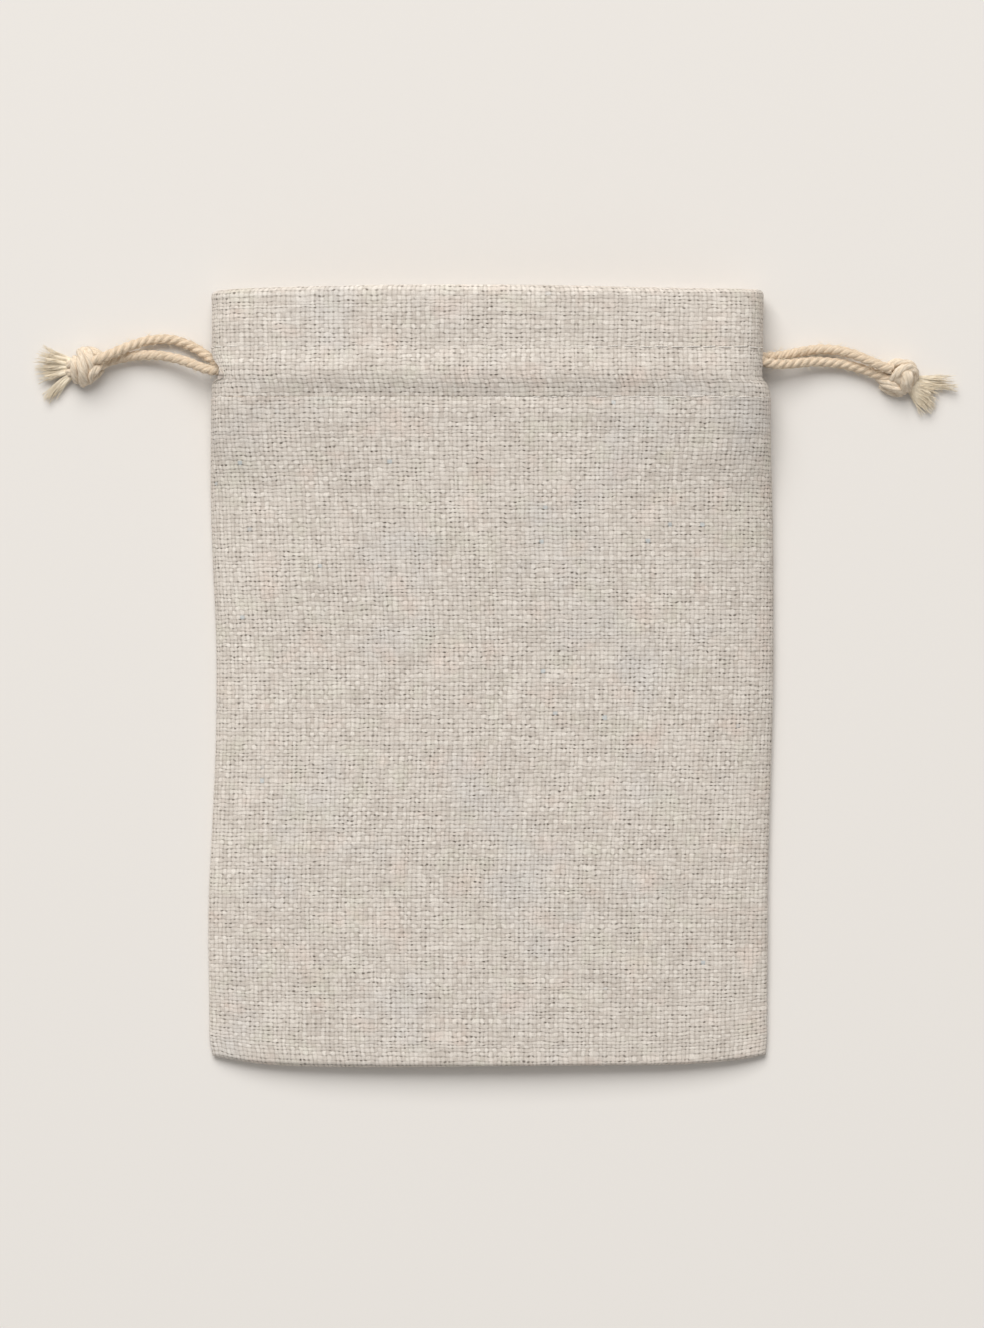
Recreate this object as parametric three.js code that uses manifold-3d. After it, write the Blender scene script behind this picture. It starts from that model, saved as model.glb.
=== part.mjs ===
// Drawstring jewelry pouch of plain-woven linen, lying on its back.
// Millimetres, +Z up. X runs across the pouch and Y from the bottom fold to the mouth. The origin is under
// the middle of the cloth, on the surface that it lies on.
// One length of linen is folded at the bottom and sewn up both sides. Its mouth hem is stitched in two
// lines, which makes a casing across the front and another across the back, open at a slit in each side
// seam. Two drawstrings run round both casings: one has its ends out of the left slit, the other out of the
// right slit, and each pair of ends is tied in a knot with frayed tails.

import * as THREE from 'three';
import { mergeVertices } from 'three/addons/utils/BufferGeometryUtils.js';
import Module from 'manifold-3d';

// Driving dimensions
const LENGTH = 140;
const HALF_WIDTH = 50;
const CLOTH = 1.0;
const HEM = 2 * CLOTH;
const CORD = 1.8;
const CLEAR = 0.3;
const PLY_TURN = 3.8;
const PLY_RELIEF = 0.18;

// Rounding of the cloth's edges, the draw of the bottom corners and the bow of the mouth
const FOLD_ROLL = 2.4;
const LIP_ROLL = 1.0;
const CORNER_DRAW = 2.0;
const CORNER_REACH = 25;
const MOUTH_BOW = 0.8;
const BOW_REACH = 9;
const CROWN_POWER = 3;

// Casing: the band between the two stitch lines, and the tunnels in it
const CASING_Y = 125.7;
const LANE_GAP = 2.6;
const LANE_PLAY = 0.5;
const LANE_LEFT_Y = CASING_Y - LANE_GAP / 2;
const LANE_RIGHT_Y = CASING_Y + LANE_GAP / 2;
const TUNNEL_HALF_HEIGHT = CORD / 2 + CLEAR;
const TUNNEL_HALF_WIDTH = LANE_GAP / 2 + CORD / 2 + LANE_PLAY;
const BACK_TUNNEL_Z = CLOTH + TUNNEL_HALF_HEIGHT;
const BACK_HEM_Z = BACK_TUNNEL_Z + TUNNEL_HALF_HEIGHT + CLOTH;
const NECK_GAP = 5.2;
const FRONT_HEM_Z = BACK_HEM_Z + NECK_GAP;
const FRONT_TUNNEL_Z = FRONT_HEM_Z + CLOTH + TUNNEL_HALF_HEIGHT;
const NECK_HALF_WIDTH = 38;
const NECK_ROLL = 4;
const NECK_CROWN = 0.6;

// Slits: the tunnels end in a chamber at each side, which opens through the side seam
const CHAMBER_X = 41.5;
const CHAMBER_HALF_WIDTH = TUNNEL_HALF_WIDTH + 0.1;
const SLIT_X = 46;
const SLIT_LOW = 1.5;
const SLIT_HIGH = 10.4;
const SHOWN_X = 47.5;
const OUTSIDE_X = 54;

// Cross-sections of the lying pouch, from the bottom fold to the mouth.
// y: distance from the fold. left, right: the two side edges. seam: height of the side edges.
// roll: width of the rounded sides. flank: rise of the rounded sides. crown: rise of the middle above them.
const SECTIONS = [
  { y: 0, left: -50.0, right: 49.6, seam: 1.7, roll: 4.0, flank: 2.0, crown: 0.1 },
  { y: 2.4, left: -50.1, right: 49.9, seam: 1.7, roll: 4.0, flank: 2.3, crown: 0.2 },
  { y: 8, left: -50.3, right: 50.1, seam: 1.7, roll: 4.0, flank: 2.8, crown: 0.6 },
  { y: 18, left: -50.7, right: 50.2, seam: 1.7, roll: 4.0, flank: 3.4, crown: 1.2 },
  { y: 30, left: -50.7, right: 50.4, seam: 1.7, roll: 4.0, flank: 4.0, crown: 1.8 },
  { y: 45, left: -49.9, right: 50.6, seam: 1.7, roll: 4.0, flank: 4.5, crown: 2.5 },
  { y: 60, left: -49.4, right: 50.6, seam: 1.7, roll: 4.2, flank: 5.0, crown: 3.0 },
  { y: 75, left: -49.4, right: 50.7, seam: 1.8, roll: 4.4, flank: 5.5, crown: 3.3 },
  { y: 90, left: -50.0, right: 50.7, seam: 2.2, roll: 4.8, flank: 5.9, crown: 3.2 },
  { y: 102, left: -50.5, right: 50.6, seam: 2.5, roll: 5.2, flank: 6.5, crown: 2.8 },
  { y: 110, left: -50.5, right: 50.5, seam: 3.1, roll: 5.7, flank: 6.7, crown: 2.3 },
  { y: 116, left: -50.3, right: 50.3, seam: 4.3, roll: 6.2, flank: 6.2, crown: 1.8 },
  { y: 119, left: -50.1, right: 50.0, seam: 5.9, roll: 6.4, flank: 4.9, crown: 1.55 },
  { y: 120.6, left: -49.9, right: 49.8, seam: 6.4, roll: 6.5, flank: 4.4, crown: 1.4 },
  { y: 122, left: -49.8, right: 49.7, seam: 6.4, roll: 6.5, flank: 5.0, crown: 1.5 },
  { y: 123.2, left: -49.7, right: 49.6, seam: 6.4, roll: 6.5, flank: 5.7, crown: 1.6 },
  { y: 124.4, left: -49.7, right: 49.6, seam: 6.4, roll: 6.5, flank: 6.1, crown: 1.6 },
  { y: 125.7, left: -49.7, right: 49.6, seam: 6.4, roll: 6.5, flank: 6.2, crown: 1.6 },
  { y: 127, left: -49.7, right: 49.6, seam: 6.4, roll: 6.5, flank: 6.1, crown: 1.6 },
  { y: 128.2, left: -49.7, right: 49.7, seam: 6.4, roll: 6.5, flank: 5.7, crown: 1.6 },
  { y: 129.2, left: -49.8, right: 49.8, seam: 6.4, roll: 6.5, flank: 5.3, crown: 1.5 },
  { y: 130.2, left: -49.9, right: 49.9, seam: 6.4, roll: 6.5, flank: 5.1, crown: 1.45 },
  { y: 133, left: -49.9, right: 50.1, seam: 6.4, roll: 6.5, flank: 5.2, crown: 1.45 },
  { y: 137, left: -50.0, right: 50.0, seam: 6.3, roll: 6.5, flank: 5.2, crown: 1.45 },
  { y: 139, left: -50.1, right: 49.7, seam: 6.2, roll: 6.5, flank: 5.2, crown: 1.45 },
  { y: LENGTH, left: -50.1, right: 49.5, seam: 6.2, roll: 6.5, flank: 5.2, crown: 1.45 },
];
const FOLD_STEPS = [0, 0.3, 1.0];
const LIP_STEPS = [139.4, 139.8, LENGTH];

// Stations of the hollow, by y, and how far its sides lie inside the side edges
const BODY_STATIONS = [3.4, 8, 18, 30, 45, 60, 75, 90, 102, 110, 116, 119];
const NECK_STATIONS = [121.2, 129.4];
const HEADING_STATIONS = [131.4, 133, 137, 139, LENGTH + 4];
const SIDE_INSET = { body: 1.3, heading: 2.4 };

// Routes of the drawstrings, from knot to knot: the front strand, the front casing, the turn in the far
// slit, the back casing and the back strand. y is measured from the bottom fold.
const LANE_END_X = 40;
const TURN_X = 42;
const LEFT_FRONT_STRAND = [
  [-69.0, 125.9, 1.6], [-67.0, 126.5, 1.6], [-65.2, 126.9, 1.6], [-63.4, 127.2, 1.7], [-61.6, 127.3, 1.9],
  [-59.8, 127.3, 2.1], [-58.0, 127.1, 2.4], [-56.2, 126.7, 2.7], [-54.4, 126.2, 3.2], [-52.6, 125.5, 3.8],
  [-50.8, 124.8, 4.5], [-49.0, 124.4, 5.3], [-47.2, 124.4, 6.4], [-45.6, 124.4, 7.7], [-44.0, 124.4, 9.1],
  [-42.2, 124.4, 10.2],
];
const LEFT_BACK_STRAND = [
  [-68.6, 127.0, 4.0], [-67.0, 127.7, 3.6], [-65.2, 128.5, 3.0], [-63.4, 129.2, 2.3], [-61.6, 129.8, 1.7],
  [-59.8, 130.1, 1.3], [-58.0, 130.2, 1.2], [-56.2, 130.0, 1.2], [-54.4, 129.4, 1.3], [-52.6, 128.6, 1.5],
  [-50.8, 127.4, 2.2], [-49.4, 126.4, 2.9], [-48.0, 125.4, 3.3], [-46.4, 124.7, 3.2], [-44.4, 124.4, 2.6],
  [-42.2, 124.4, 2.2],
];
const RIGHT_FRONT_STRAND = [
  [70.0, 123.8, 2.1], [68.6, 124.4, 1.9], [67.0, 124.9, 1.7], [65.2, 125.4, 1.6], [63.4, 125.8, 1.7],
  [61.6, 126.0, 1.8], [59.8, 126.1, 2.0], [58.0, 126.1, 2.3], [56.2, 125.9, 2.7], [54.4, 125.7, 3.2],
  [52.6, 125.6, 3.8], [50.8, 125.7, 4.5], [49.0, 126.1, 5.3], [47.2, 126.6, 6.4], [45.6, 126.9, 7.7],
  [44.0, 127.0, 9.1], [42.2, 127.0, 10.2],
];
const RIGHT_BACK_STRAND = [
  [70.0, 125.6, 3.5], [68.6, 126.2, 3.3], [67.0, 126.9, 2.9], [65.2, 127.6, 2.4], [63.4, 128.1, 1.9],
  [61.6, 128.3, 1.5], [59.8, 128.4, 1.3], [58.0, 128.2, 1.2], [56.2, 127.9, 1.2], [54.4, 127.5, 1.4],
  [52.6, 127.2, 1.8], [50.8, 127.0, 2.5], [49.0, 126.9, 3.0], [47.2, 126.9, 3.2], [45.2, 127.0, 2.9],
  [43.6, 127.0, 2.4], [42.0, 127.0, 2.2],
];

// Knots: middle and size of each, its raised wraps and the turn of its axis from X, in degrees
const KNOTS = {
  left: { x: -72.2, y: 125.3, along: 5.6, across: 6.2, tall: 5.4, wraps: 3, slant: 0.6, turn: 8 },
  right: { x: 73.9, y: 123.4, along: 6.4, across: 6.0, tall: 5.6, wraps: 3, slant: -0.9, turn: -28 },
};
const WRAP_RELIEF = 0.1;
const KNOT_FLAT = 0.15;

// Frayed tails, a row for each tuft: its heading in degrees from +X, its length from the middle of the knot,
// the spread of its locks in degrees, how many locks, the height of the tips and a lock's girth at its root
const TUFTS = {
  left: [
    { heading: 161, reach: 8.8, spread: 22, locks: 4, tip: 1.7, girth: 1.9 },
    { heading: 184, reach: 9.1, spread: 16, locks: 3, tip: 1.0, girth: 1.8 },
    { heading: 212, reach: 8.2, spread: 20, locks: 3, tip: 0.7, girth: 1.7 },
  ],
  right: [
    { heading: -44, reach: 9.8, spread: 24, locks: 4, tip: 0.8, girth: 2.0 },
    { heading: -22, reach: 9.0, spread: 16, locks: 3, tip: 1.3, girth: 1.8 },
    { heading: -4, reach: 9.9, spread: 6, locks: 2, tip: 1.8, girth: 1.0 },
  ],
};

// Fineness of the surfaces
const ROLL_STEPS = 4;
const TOP_STEPS = 12;
const UNDER_STEPS = 4;
const TUNNEL_SIDES = 12;
const CORD_SIDES = 9;
const STEPS_PER_PLY_TURN = 8;
const HIDDEN_STEP = 4;
const TURN_STEP = 1.3;
const KNOT_RINGS = 14;
const KNOT_SIDES = 20;
const LOCK_SIDES = 4;
const LOCK_STEPS = 4;

const LINEN = { color: 0xcdc3b9, roughness: 0.95, metalness: 0 };
const TWINE = { color: 0xd2bea6, roughness: 0.9, metalness: 0 };

const wasm = await Module();
wasm.setup();

const mix = (a, b, t) => a + (b - a) * t;

// A closed solid through rings of points, each ring capped by a fan from its middle
function loft(rings) {
  const sides = rings[0].length;
  const points = rings.flat();
  const faces = [];
  for (let r = 0; r + 1 < rings.length; r += 1) {
    for (let s = 0; s < sides; s += 1) {
      const a = r * sides + s;
      const b = r * sides + ((s + 1) % sides);
      faces.push(a, b, b + sides, a, b + sides, a + sides);
    }
  }
  const cap = (ring, first, flip) => {
    const middle = ring.reduce((sum, p) => sum.add(p), new THREE.Vector3()).divideScalar(sides);
    const centre = points.push(middle) - 1;
    for (let s = 0; s < sides; s += 1) {
      const edge = [first + s, first + ((s + 1) % sides)];
      faces.push(centre, edge[flip ? 1 : 0], edge[flip ? 0 : 1]);
    }
  };
  cap(rings[0], 0, true);
  cap(rings[rings.length - 1], (rings.length - 1) * sides, false);
  const geometry = new THREE.BufferGeometry().setFromPoints(points);
  geometry.setIndex(faces);
  return facingOut(geometry);
}

// Turns the faces round if the volume that they enclose comes out negative
function facingOut(geometry) {
  const index = geometry.getIndex().array;
  const corner = (i) => new THREE.Vector3().fromBufferAttribute(geometry.getAttribute('position'), index[i]);
  let volume = 0;
  for (let i = 0; i < index.length; i += 3) {
    volume += corner(i).dot(corner(i + 1).cross(corner(i + 2)));
  }
  if (volume < 0) {
    for (let i = 0; i < index.length; i += 3) {
      [index[i + 1], index[i + 2]] = [index[i + 2], index[i + 1]];
    }
  }
  return geometry;
}

function solidOf(geometry) {
  const bare = geometry.clone();
  bare.deleteAttribute('normal');
  bare.deleteAttribute('uv');
  const merged = mergeVertices(bare, 1e-4);
  return new wasm.Manifold(new wasm.Mesh({
    numProp: 3,
    vertProperties: new Float32Array(merged.getAttribute('position').array),
    triVerts: new Uint32Array(merged.getIndex().array),
  }));
}

function meshOf(name, solid, finish) {
  const { vertProperties, triVerts } = solid.getMesh();
  const geometry = new THREE.BufferGeometry();
  geometry.setAttribute('position', new THREE.BufferAttribute(vertProperties, 3));
  geometry.setIndex(new THREE.BufferAttribute(triVerts, 1));
  geometry.computeVertexNormals();
  const mesh = new THREE.Mesh(geometry, new THREE.MeshStandardMaterial(finish));
  mesh.name = name;
  return mesh;
}

// The section at any distance from the fold, between two rows of the table
function sectionAt(y) {
  const above = Math.max(1, SECTIONS.findIndex((row) => row.y >= Math.min(y, LENGTH)));
  const [low, high] = [SECTIONS[above - 1], SECTIONS[above]];
  const t = (Math.min(y, LENGTH) - low.y) / (high.y - low.y);
  const between = (key) => mix(low[key], high[key], t);
  return {
    y,
    left: between('left'),
    right: between('right'),
    seam: between('seam'),
    roll: between('roll'),
    flank: between('flank'),
    under: between('seam'),
    crown: between('crown'),
  };
}

// Y of a point, with the bottom corners drawn up and the mouth bowed by a distance that depends on x
function along(x, y) {
  const u = Math.abs(x) / HALF_WIDTH;
  const corner = CORNER_DRAW * u ** 6 * Math.max(0, 1 - y / CORNER_REACH) ** 2;
  const bow = MOUTH_BOW * u ** 2 * Math.max(0, (y - LENGTH + BOW_REACH) / BOW_REACH);
  return y + corner - bow - LENGTH / 2;
}

// One ring of the pouch: a rounded side, the crowned top, the other side and the flat underside
function pouchRing({ y, left, right, seam, roll, flank, under, crown }) {
  const ring = [];
  const put = (x, z) => ring.push(new THREE.Vector3(x, along(x, y), z));
  const quarter = (k) => (k / ROLL_STEPS) * (Math.PI / 2);
  for (let k = 0; k < ROLL_STEPS; k += 1) {
    put(left + roll * (1 - Math.cos(quarter(k))), seam + flank * Math.sin(quarter(k)));
  }
  for (let k = 0; k <= TOP_STEPS; k += 1) {
    const u = (2 * k) / TOP_STEPS - 1;
    const rise = crown * (1 - Math.abs(u) ** CROWN_POWER);
    put(mix(left + roll, right - roll, k / TOP_STEPS), seam + flank + rise);
  }
  for (let k = ROLL_STEPS - 1; k >= 0; k -= 1) {
    put(right - roll * (1 - Math.cos(quarter(k))), seam + flank * Math.sin(quarter(k)));
  }
  for (let k = 1; k < ROLL_STEPS; k += 1) {
    put(right - roll * (1 - Math.cos(quarter(k))), seam - under * Math.sin(quarter(k)));
  }
  for (let k = 0; k <= UNDER_STEPS; k += 1) {
    put(mix(right - roll, left + roll, k / UNDER_STEPS), seam - under);
  }
  for (let k = ROLL_STEPS - 1; k >= 1; k -= 1) {
    put(left + roll * (1 - Math.cos(quarter(k))), seam - under * Math.sin(quarter(k)));
  }
  return ring;
}

// A section near the bottom fold, squeezed towards its seam along a quarter round
function foldSection(y) {
  const section = sectionAt(y);
  const lift = Math.max(0.3, Math.sqrt(1 - (1 - y / FOLD_ROLL) ** 2));
  return {
    ...section,
    flank: section.flank * lift,
    under: section.under * lift,
    crown: section.crown * lift,
  };
}

// A section near the mouth, whose outer edges fall away along a quarter round
function lipSection(y) {
  const section = sectionAt(y);
  const fall = LIP_ROLL * (1 - Math.sqrt(1 - ((y - LENGTH + LIP_ROLL) / LIP_ROLL) ** 2));
  return { ...section, flank: section.flank - fall, under: section.under - fall };
}

function outsideOfPouch() {
  const fold = FOLD_STEPS.map(foldSection);
  const body = SECTIONS.slice(1, -1).map((row) => sectionAt(row.y));
  const lip = LIP_STEPS.map(lipSection);
  return solidOf(loft([...fold, ...body, ...lip].map(pouchRing)));
}

// The hollow: one layer of cloth inside the body, narrowed between the casings, two layers inside the heading
function insideOfPouch() {
  const shrunk = (y, wall, inset) => {
    const outer = sectionAt(y);
    return {
      ...outer,
      left: outer.left + inset,
      right: outer.right - inset,
      flank: outer.flank - wall,
      under: outer.under - wall,
    };
  };
  const neck = (y) => ({
    y,
    left: -NECK_HALF_WIDTH,
    right: NECK_HALF_WIDTH,
    seam: (BACK_HEM_Z + FRONT_HEM_Z) / 2,
    roll: NECK_ROLL,
    flank: NECK_GAP / 2 - NECK_CROWN,
    under: NECK_GAP / 2,
    crown: NECK_CROWN,
  });
  const rings = [
    ...BODY_STATIONS.map((y) => shrunk(y, CLOTH, SIDE_INSET.body)),
    ...NECK_STATIONS.map(neck),
    ...HEADING_STATIONS.map((y) => shrunk(y, HEM, SIDE_INSET.heading)),
  ];
  return solidOf(loft(rings.map(pouchRing)));
}

// Height of the front tunnel's middle, which falls towards the sides as the cloth does
function frontTunnelZ(x) {
  const casing = sectionAt(CASING_Y);
  const reach = (casing.right - casing.left) / 2 - casing.roll;
  return FRONT_TUNNEL_Z - casing.crown * Math.min(1, Math.abs(x) / reach) ** CROWN_POWER;
}

// A casing tunnel: a flattened round carried across the pouch
function tunnel(heightAt) {
  const ringAt = (x) => Array.from({ length: TUNNEL_SIDES }, (_, k) => {
    const angle = ((k + 0.5) / TUNNEL_SIDES) * 2 * Math.PI;
    const radius = TUNNEL_HALF_HEIGHT / Math.cos(Math.PI / TUNNEL_SIDES);
    const straight = TUNNEL_HALF_WIDTH - TUNNEL_HALF_HEIGHT;
    const y = Math.sign(Math.cos(angle)) * straight + radius * Math.cos(angle);
    return new THREE.Vector3(x, CASING_Y - LENGTH / 2 + y, heightAt(x) + radius * Math.sin(angle));
  });
  const end = CHAMBER_X + 1;
  const stations = Array.from({ length: TOP_STEPS + 1 }, (_, k) => mix(-end, end, k / TOP_STEPS));
  return solidOf(loft(stations.map(ringAt)));
}

// The slit at one side (+1 right, -1 left): a chamber that joins both tunnels, and its way out at the seam
function slit(side) {
  const casing = sectionAt(CASING_Y);
  const edge = side > 0 ? casing.right : -casing.left;
  const start = edge - casing.roll;
  const reach = casing.roll - SIDE_INSET.body;
  const shape = new THREE.Shape();
  shape.moveTo(CHAMBER_X, CLOTH);
  shape.lineTo(start, CLOTH);
  shape.absellipse(start, casing.seam, reach, casing.seam - CLOTH, -Math.PI / 2, 0, false);
  shape.absellipse(start, casing.seam, reach, casing.flank - CLOTH, 0, Math.PI / 2, false);
  shape.lineTo(CHAMBER_X, casing.seam + casing.flank - CLOTH);
  const chamber = new THREE.ExtrudeGeometry(shape, {
    depth: 2 * CHAMBER_HALF_WIDTH,
    bevelEnabled: false,
    curveSegments: ROLL_STEPS,
  });
  chamber.rotateX(Math.PI / 2);
  chamber.translate(0, CASING_Y + CHAMBER_HALF_WIDTH - LENGTH / 2, 0);
  const gap = new THREE.BoxGeometry(OUTSIDE_X - SLIT_X, 2 * CHAMBER_HALF_WIDTH, SLIT_HIGH - SLIT_LOW);
  gap.translate((OUTSIDE_X + SLIT_X) / 2, CASING_Y - LENGTH / 2, (SLIT_HIGH + SLIT_LOW) / 2);
  const both = solidOf(chamber).add(solidOf(gap));
  return side > 0 ? both : both.mirror([1, 0, 0]);
}

function pouchCloth() {
  let cloth = outsideOfPouch();
  const cuts = [insideOfPouch(), tunnel(frontTunnelZ), tunnel(() => BACK_TUNNEL_Z), slit(-1), slit(1)];
  for (const cut of cuts) {
    cloth = cloth.subtract(cut);
  }
  return cloth;
}

// The whole route of a drawstring as one smooth curve, with its turn in the slit opposite its ends
// (far: +1 right, -1 left)
function drawstringRoute(frontStrand, backStrand, laneY, far) {
  const points = frontStrand.map(([x, y, z]) => new THREE.Vector3(x, y - LENGTH / 2, z));
  const lane = (x, z) => points.push(new THREE.Vector3(x, laneY - LENGTH / 2, z));
  for (let k = -3; k <= 3; k += 1) {
    lane((k / 3) * far * LANE_END_X, frontTunnelZ((k / 3) * LANE_END_X));
  }
  const radius = (frontTunnelZ(TURN_X) - BACK_TUNNEL_Z) / 2;
  for (let k = 0; k <= 6; k += 1) {
    const angle = Math.PI / 2 - (k / 6) * Math.PI;
    lane(far * (TURN_X + radius * Math.cos(angle)), BACK_TUNNEL_Z + radius * (1 + Math.sin(angle)));
  }
  for (let k = 3; k >= -3; k -= 1) {
    lane((k / 3) * far * LANE_END_X, BACK_TUNNEL_Z);
  }
  points.push(...backStrand.map(([x, y, z]) => new THREE.Vector3(x, y - LENGTH / 2, z)).reverse());
  const route = new THREE.CatmullRomCurve3(points, false, 'centripetal');
  route.arcLengthDivisions = 2000;
  return route;
}

// One ring of twine: three plies laid left-handed round the middle, as a rise and fall of the ring's radius
function twineRing(route, u, twist) {
  const middle = route.getPointAt(u);
  const tangent = route.getTangentAt(u);
  const across = new THREE.Vector3(0, 1, 0).addScaledVector(tangent, -tangent.y).normalize();
  const up = new THREE.Vector3().crossVectors(tangent, across);
  return Array.from({ length: CORD_SIDES }, (_, k) => {
    const angle = (k / CORD_SIDES) * 2 * Math.PI;
    const radius = (CORD / 2) * (1 - PLY_RELIEF / 2 + (PLY_RELIEF / 2) * Math.cos(3 * angle - twist));
    return middle.clone()
      .addScaledVector(across, radius * Math.cos(angle))
      .addScaledVector(up, radius * Math.sin(angle));
  });
}

// Distances along the route: close steps where the twine shows, wider ones inside the casings
function twineSteps(route) {
  const length = route.getLength();
  const fine = PLY_TURN / STEPS_PER_PLY_TURN;
  const steps = [];
  let s = 0;
  while (s < length) {
    steps.push(s);
    const x = Math.abs(route.getPointAt(s / length).x);
    const hidden = x < CHAMBER_X ? HIDDEN_STEP : TURN_STEP;
    s += x > SHOWN_X ? fine : hidden;
  }
  steps.push(length);
  return steps.filter((step, k) => k === 0 || step === length || length - step > fine / 2);
}

function drawstring(route) {
  const length = route.getLength();
  const twist = (s) => -(3 * 2 * Math.PI * s) / PLY_TURN;
  const rings = twineSteps(route).map((s) => twineRing(route, s / length, twist(s)));
  return solidOf(loft(rings));
}

// The knot: a rounded lump with raised wraps across its axis, flat where it lies on the surface
function knotLump({ x, y, along: long, across, tall, wraps, slant, turn }) {
  const bearing = THREE.MathUtils.degToRad(turn);
  const axis = new THREE.Vector3(Math.cos(bearing), Math.sin(bearing), 0);
  const side = new THREE.Vector3(-axis.y, axis.x, 0);
  const middle = new THREE.Vector3(x, y - LENGTH / 2, tall / 2 - KNOT_FLAT);
  const ringAt = (t) => Array.from({ length: KNOT_SIDES }, (_, k) => {
    const angle = (k / KNOT_SIDES) * 2 * Math.PI;
    const wave = Math.cos(2 * Math.PI * wraps * (t - 0.5) + slant * Math.sin(angle));
    const radius = Math.sin(Math.PI * t) ** 0.6 * (1 + WRAP_RELIEF * (wave - 1));
    const point = middle.clone()
      .addScaledVector(axis, (t - 0.5) * long)
      .addScaledVector(side, (across / 2) * radius * Math.cos(angle));
    point.z = Math.max(0, point.z + (tall / 2) * radius * Math.sin(angle));
    return point;
  });
  const stations = Array.from({ length: KNOT_RINGS + 1 }, (_, k) => mix(0.03, 0.97, k / KNOT_RINGS));
  return solidOf(loft(stations.map(ringAt)));
}

// A stub of twine from the knot to just short of the end of a strand
function knotStub(route, u, knot) {
  const end = route.getPointAt(u);
  const outward = route.getTangentAt(u).multiplyScalar(u < 0.5 ? -1 : 1);
  const ring = twineRing(route, u, 0);
  const inside = new THREE.Vector3(knot.x, knot.y - LENGTH / 2, knot.tall / 2).sub(end);
  return solidOf(loft([
    ring.map((p) => p.clone().addScaledVector(outward, CLEAR)),
    ring.map((p) => p.clone().addScaledVector(outward, 1.2)),
    ring.map((p) => p.clone().addScaledVector(inside, 0.95)),
  ]));
}

// A frayed lock: a tapering four-sided strand from inside the knot to its tip, lying down as it goes
function lock(knot, heading, reach, tip, girth) {
  const angle = THREE.MathUtils.degToRad(heading);
  const ahead = new THREE.Vector3(Math.cos(angle), Math.sin(angle), 0);
  const side = new THREE.Vector3(-ahead.y, ahead.x, 0);
  const root = new THREE.Vector3(knot.x, knot.y - LENGTH / 2, knot.tall * 0.42);
  const rings = Array.from({ length: LOCK_STEPS + 1 }, (_, k) => {
    const t = k / LOCK_STEPS;
    const half = (girth / 2) * mix(1, 0.35, t ** 1.5);
    const middle = root.clone().addScaledVector(ahead, reach * mix(0.12, 1, t));
    middle.z = Math.max(half, mix(root.z, tip, t ** 0.8));
    return Array.from({ length: LOCK_SIDES }, (_, s) => {
      const turn = ((s + 0.5) / LOCK_SIDES) * 2 * Math.PI;
      return middle.clone()
        .addScaledVector(side, half * Math.SQRT2 * Math.cos(turn))
        .add(new THREE.Vector3(0, 0, half * Math.SQRT2 * Math.sin(turn)));
    });
  });
  return solidOf(loft(rings));
}

function knot(which, route) {
  const form = KNOTS[which];
  let solid = knotLump(form).add(knotStub(route, 0, form)).add(knotStub(route, 1, form));
  for (const tuft of TUFTS[which]) {
    for (let k = 0; k < tuft.locks; k += 1) {
      const share = tuft.locks > 1 ? k / (tuft.locks - 1) - 0.5 : 0;
      const uneven = 1 - 0.12 * ((k * 2) % 3);
      const tip = tuft.tip * (1 + 0.5 * (k % 2));
      solid = solid.add(lock(form, tuft.heading + share * tuft.spread, tuft.reach * uneven, tip, tuft.girth));
    }
  }
  return solid;
}

const leftRoute = drawstringRoute(LEFT_FRONT_STRAND, LEFT_BACK_STRAND, LANE_LEFT_Y, 1);
const rightRoute = drawstringRoute(RIGHT_FRONT_STRAND, RIGHT_BACK_STRAND, LANE_RIGHT_Y, -1);

const pouch = new THREE.Group();
pouch.add(
  meshOf('pouch_cloth', pouchCloth(), LINEN),
  meshOf('drawstring_left', drawstring(leftRoute), TWINE),
  meshOf('drawstring_right', drawstring(rightRoute), TWINE),
  meshOf('knot_left', knot('left', leftRoute), TWINE),
  meshOf('knot_right', knot('right', rightRoute), TWINE),
);

export default pouch;
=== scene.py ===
"""Drawstring jewelry pouch of plain-woven linen, lying on its back with its twine ends out at both sides."""
import math

import bpy
import numpy as np
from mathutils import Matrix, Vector


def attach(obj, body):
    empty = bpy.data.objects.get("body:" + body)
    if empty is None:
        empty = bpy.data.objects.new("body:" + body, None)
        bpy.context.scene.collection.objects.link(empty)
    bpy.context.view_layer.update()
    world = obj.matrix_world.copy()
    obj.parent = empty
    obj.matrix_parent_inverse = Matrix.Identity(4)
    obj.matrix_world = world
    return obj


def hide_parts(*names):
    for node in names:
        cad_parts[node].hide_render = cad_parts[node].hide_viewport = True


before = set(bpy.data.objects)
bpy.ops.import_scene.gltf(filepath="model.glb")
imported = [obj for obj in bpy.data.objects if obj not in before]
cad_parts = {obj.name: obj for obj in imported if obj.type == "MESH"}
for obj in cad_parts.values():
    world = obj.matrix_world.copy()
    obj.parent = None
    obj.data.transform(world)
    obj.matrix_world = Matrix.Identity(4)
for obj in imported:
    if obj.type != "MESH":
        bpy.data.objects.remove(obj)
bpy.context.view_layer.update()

# Sizes are in millimetres, as in the pouch's own drawing, and become metres when a mesh is made. A row of
# cloth is longer than the pouch is wide, by ROW_EXTRA, because it goes round the sides.
MM = 0.001
LENGTH = 140.0
HALF_WIDTH = 50.0
ROW_EXTRA = 5.0
LINEN_THICKNESS = 0.6
WARP_PITCH = 0.83
WEFT_PITCH = 0.75
INNER_STEP = 4
SHARP_ANGLE = math.radians(75)
ACROSS = np.array([1.0, 0.0, 0.0])
ALONG = np.array([0.0, 1.0, 0.0])
UPWARD = np.array([0.0, 0.0, 1.0])

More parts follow.
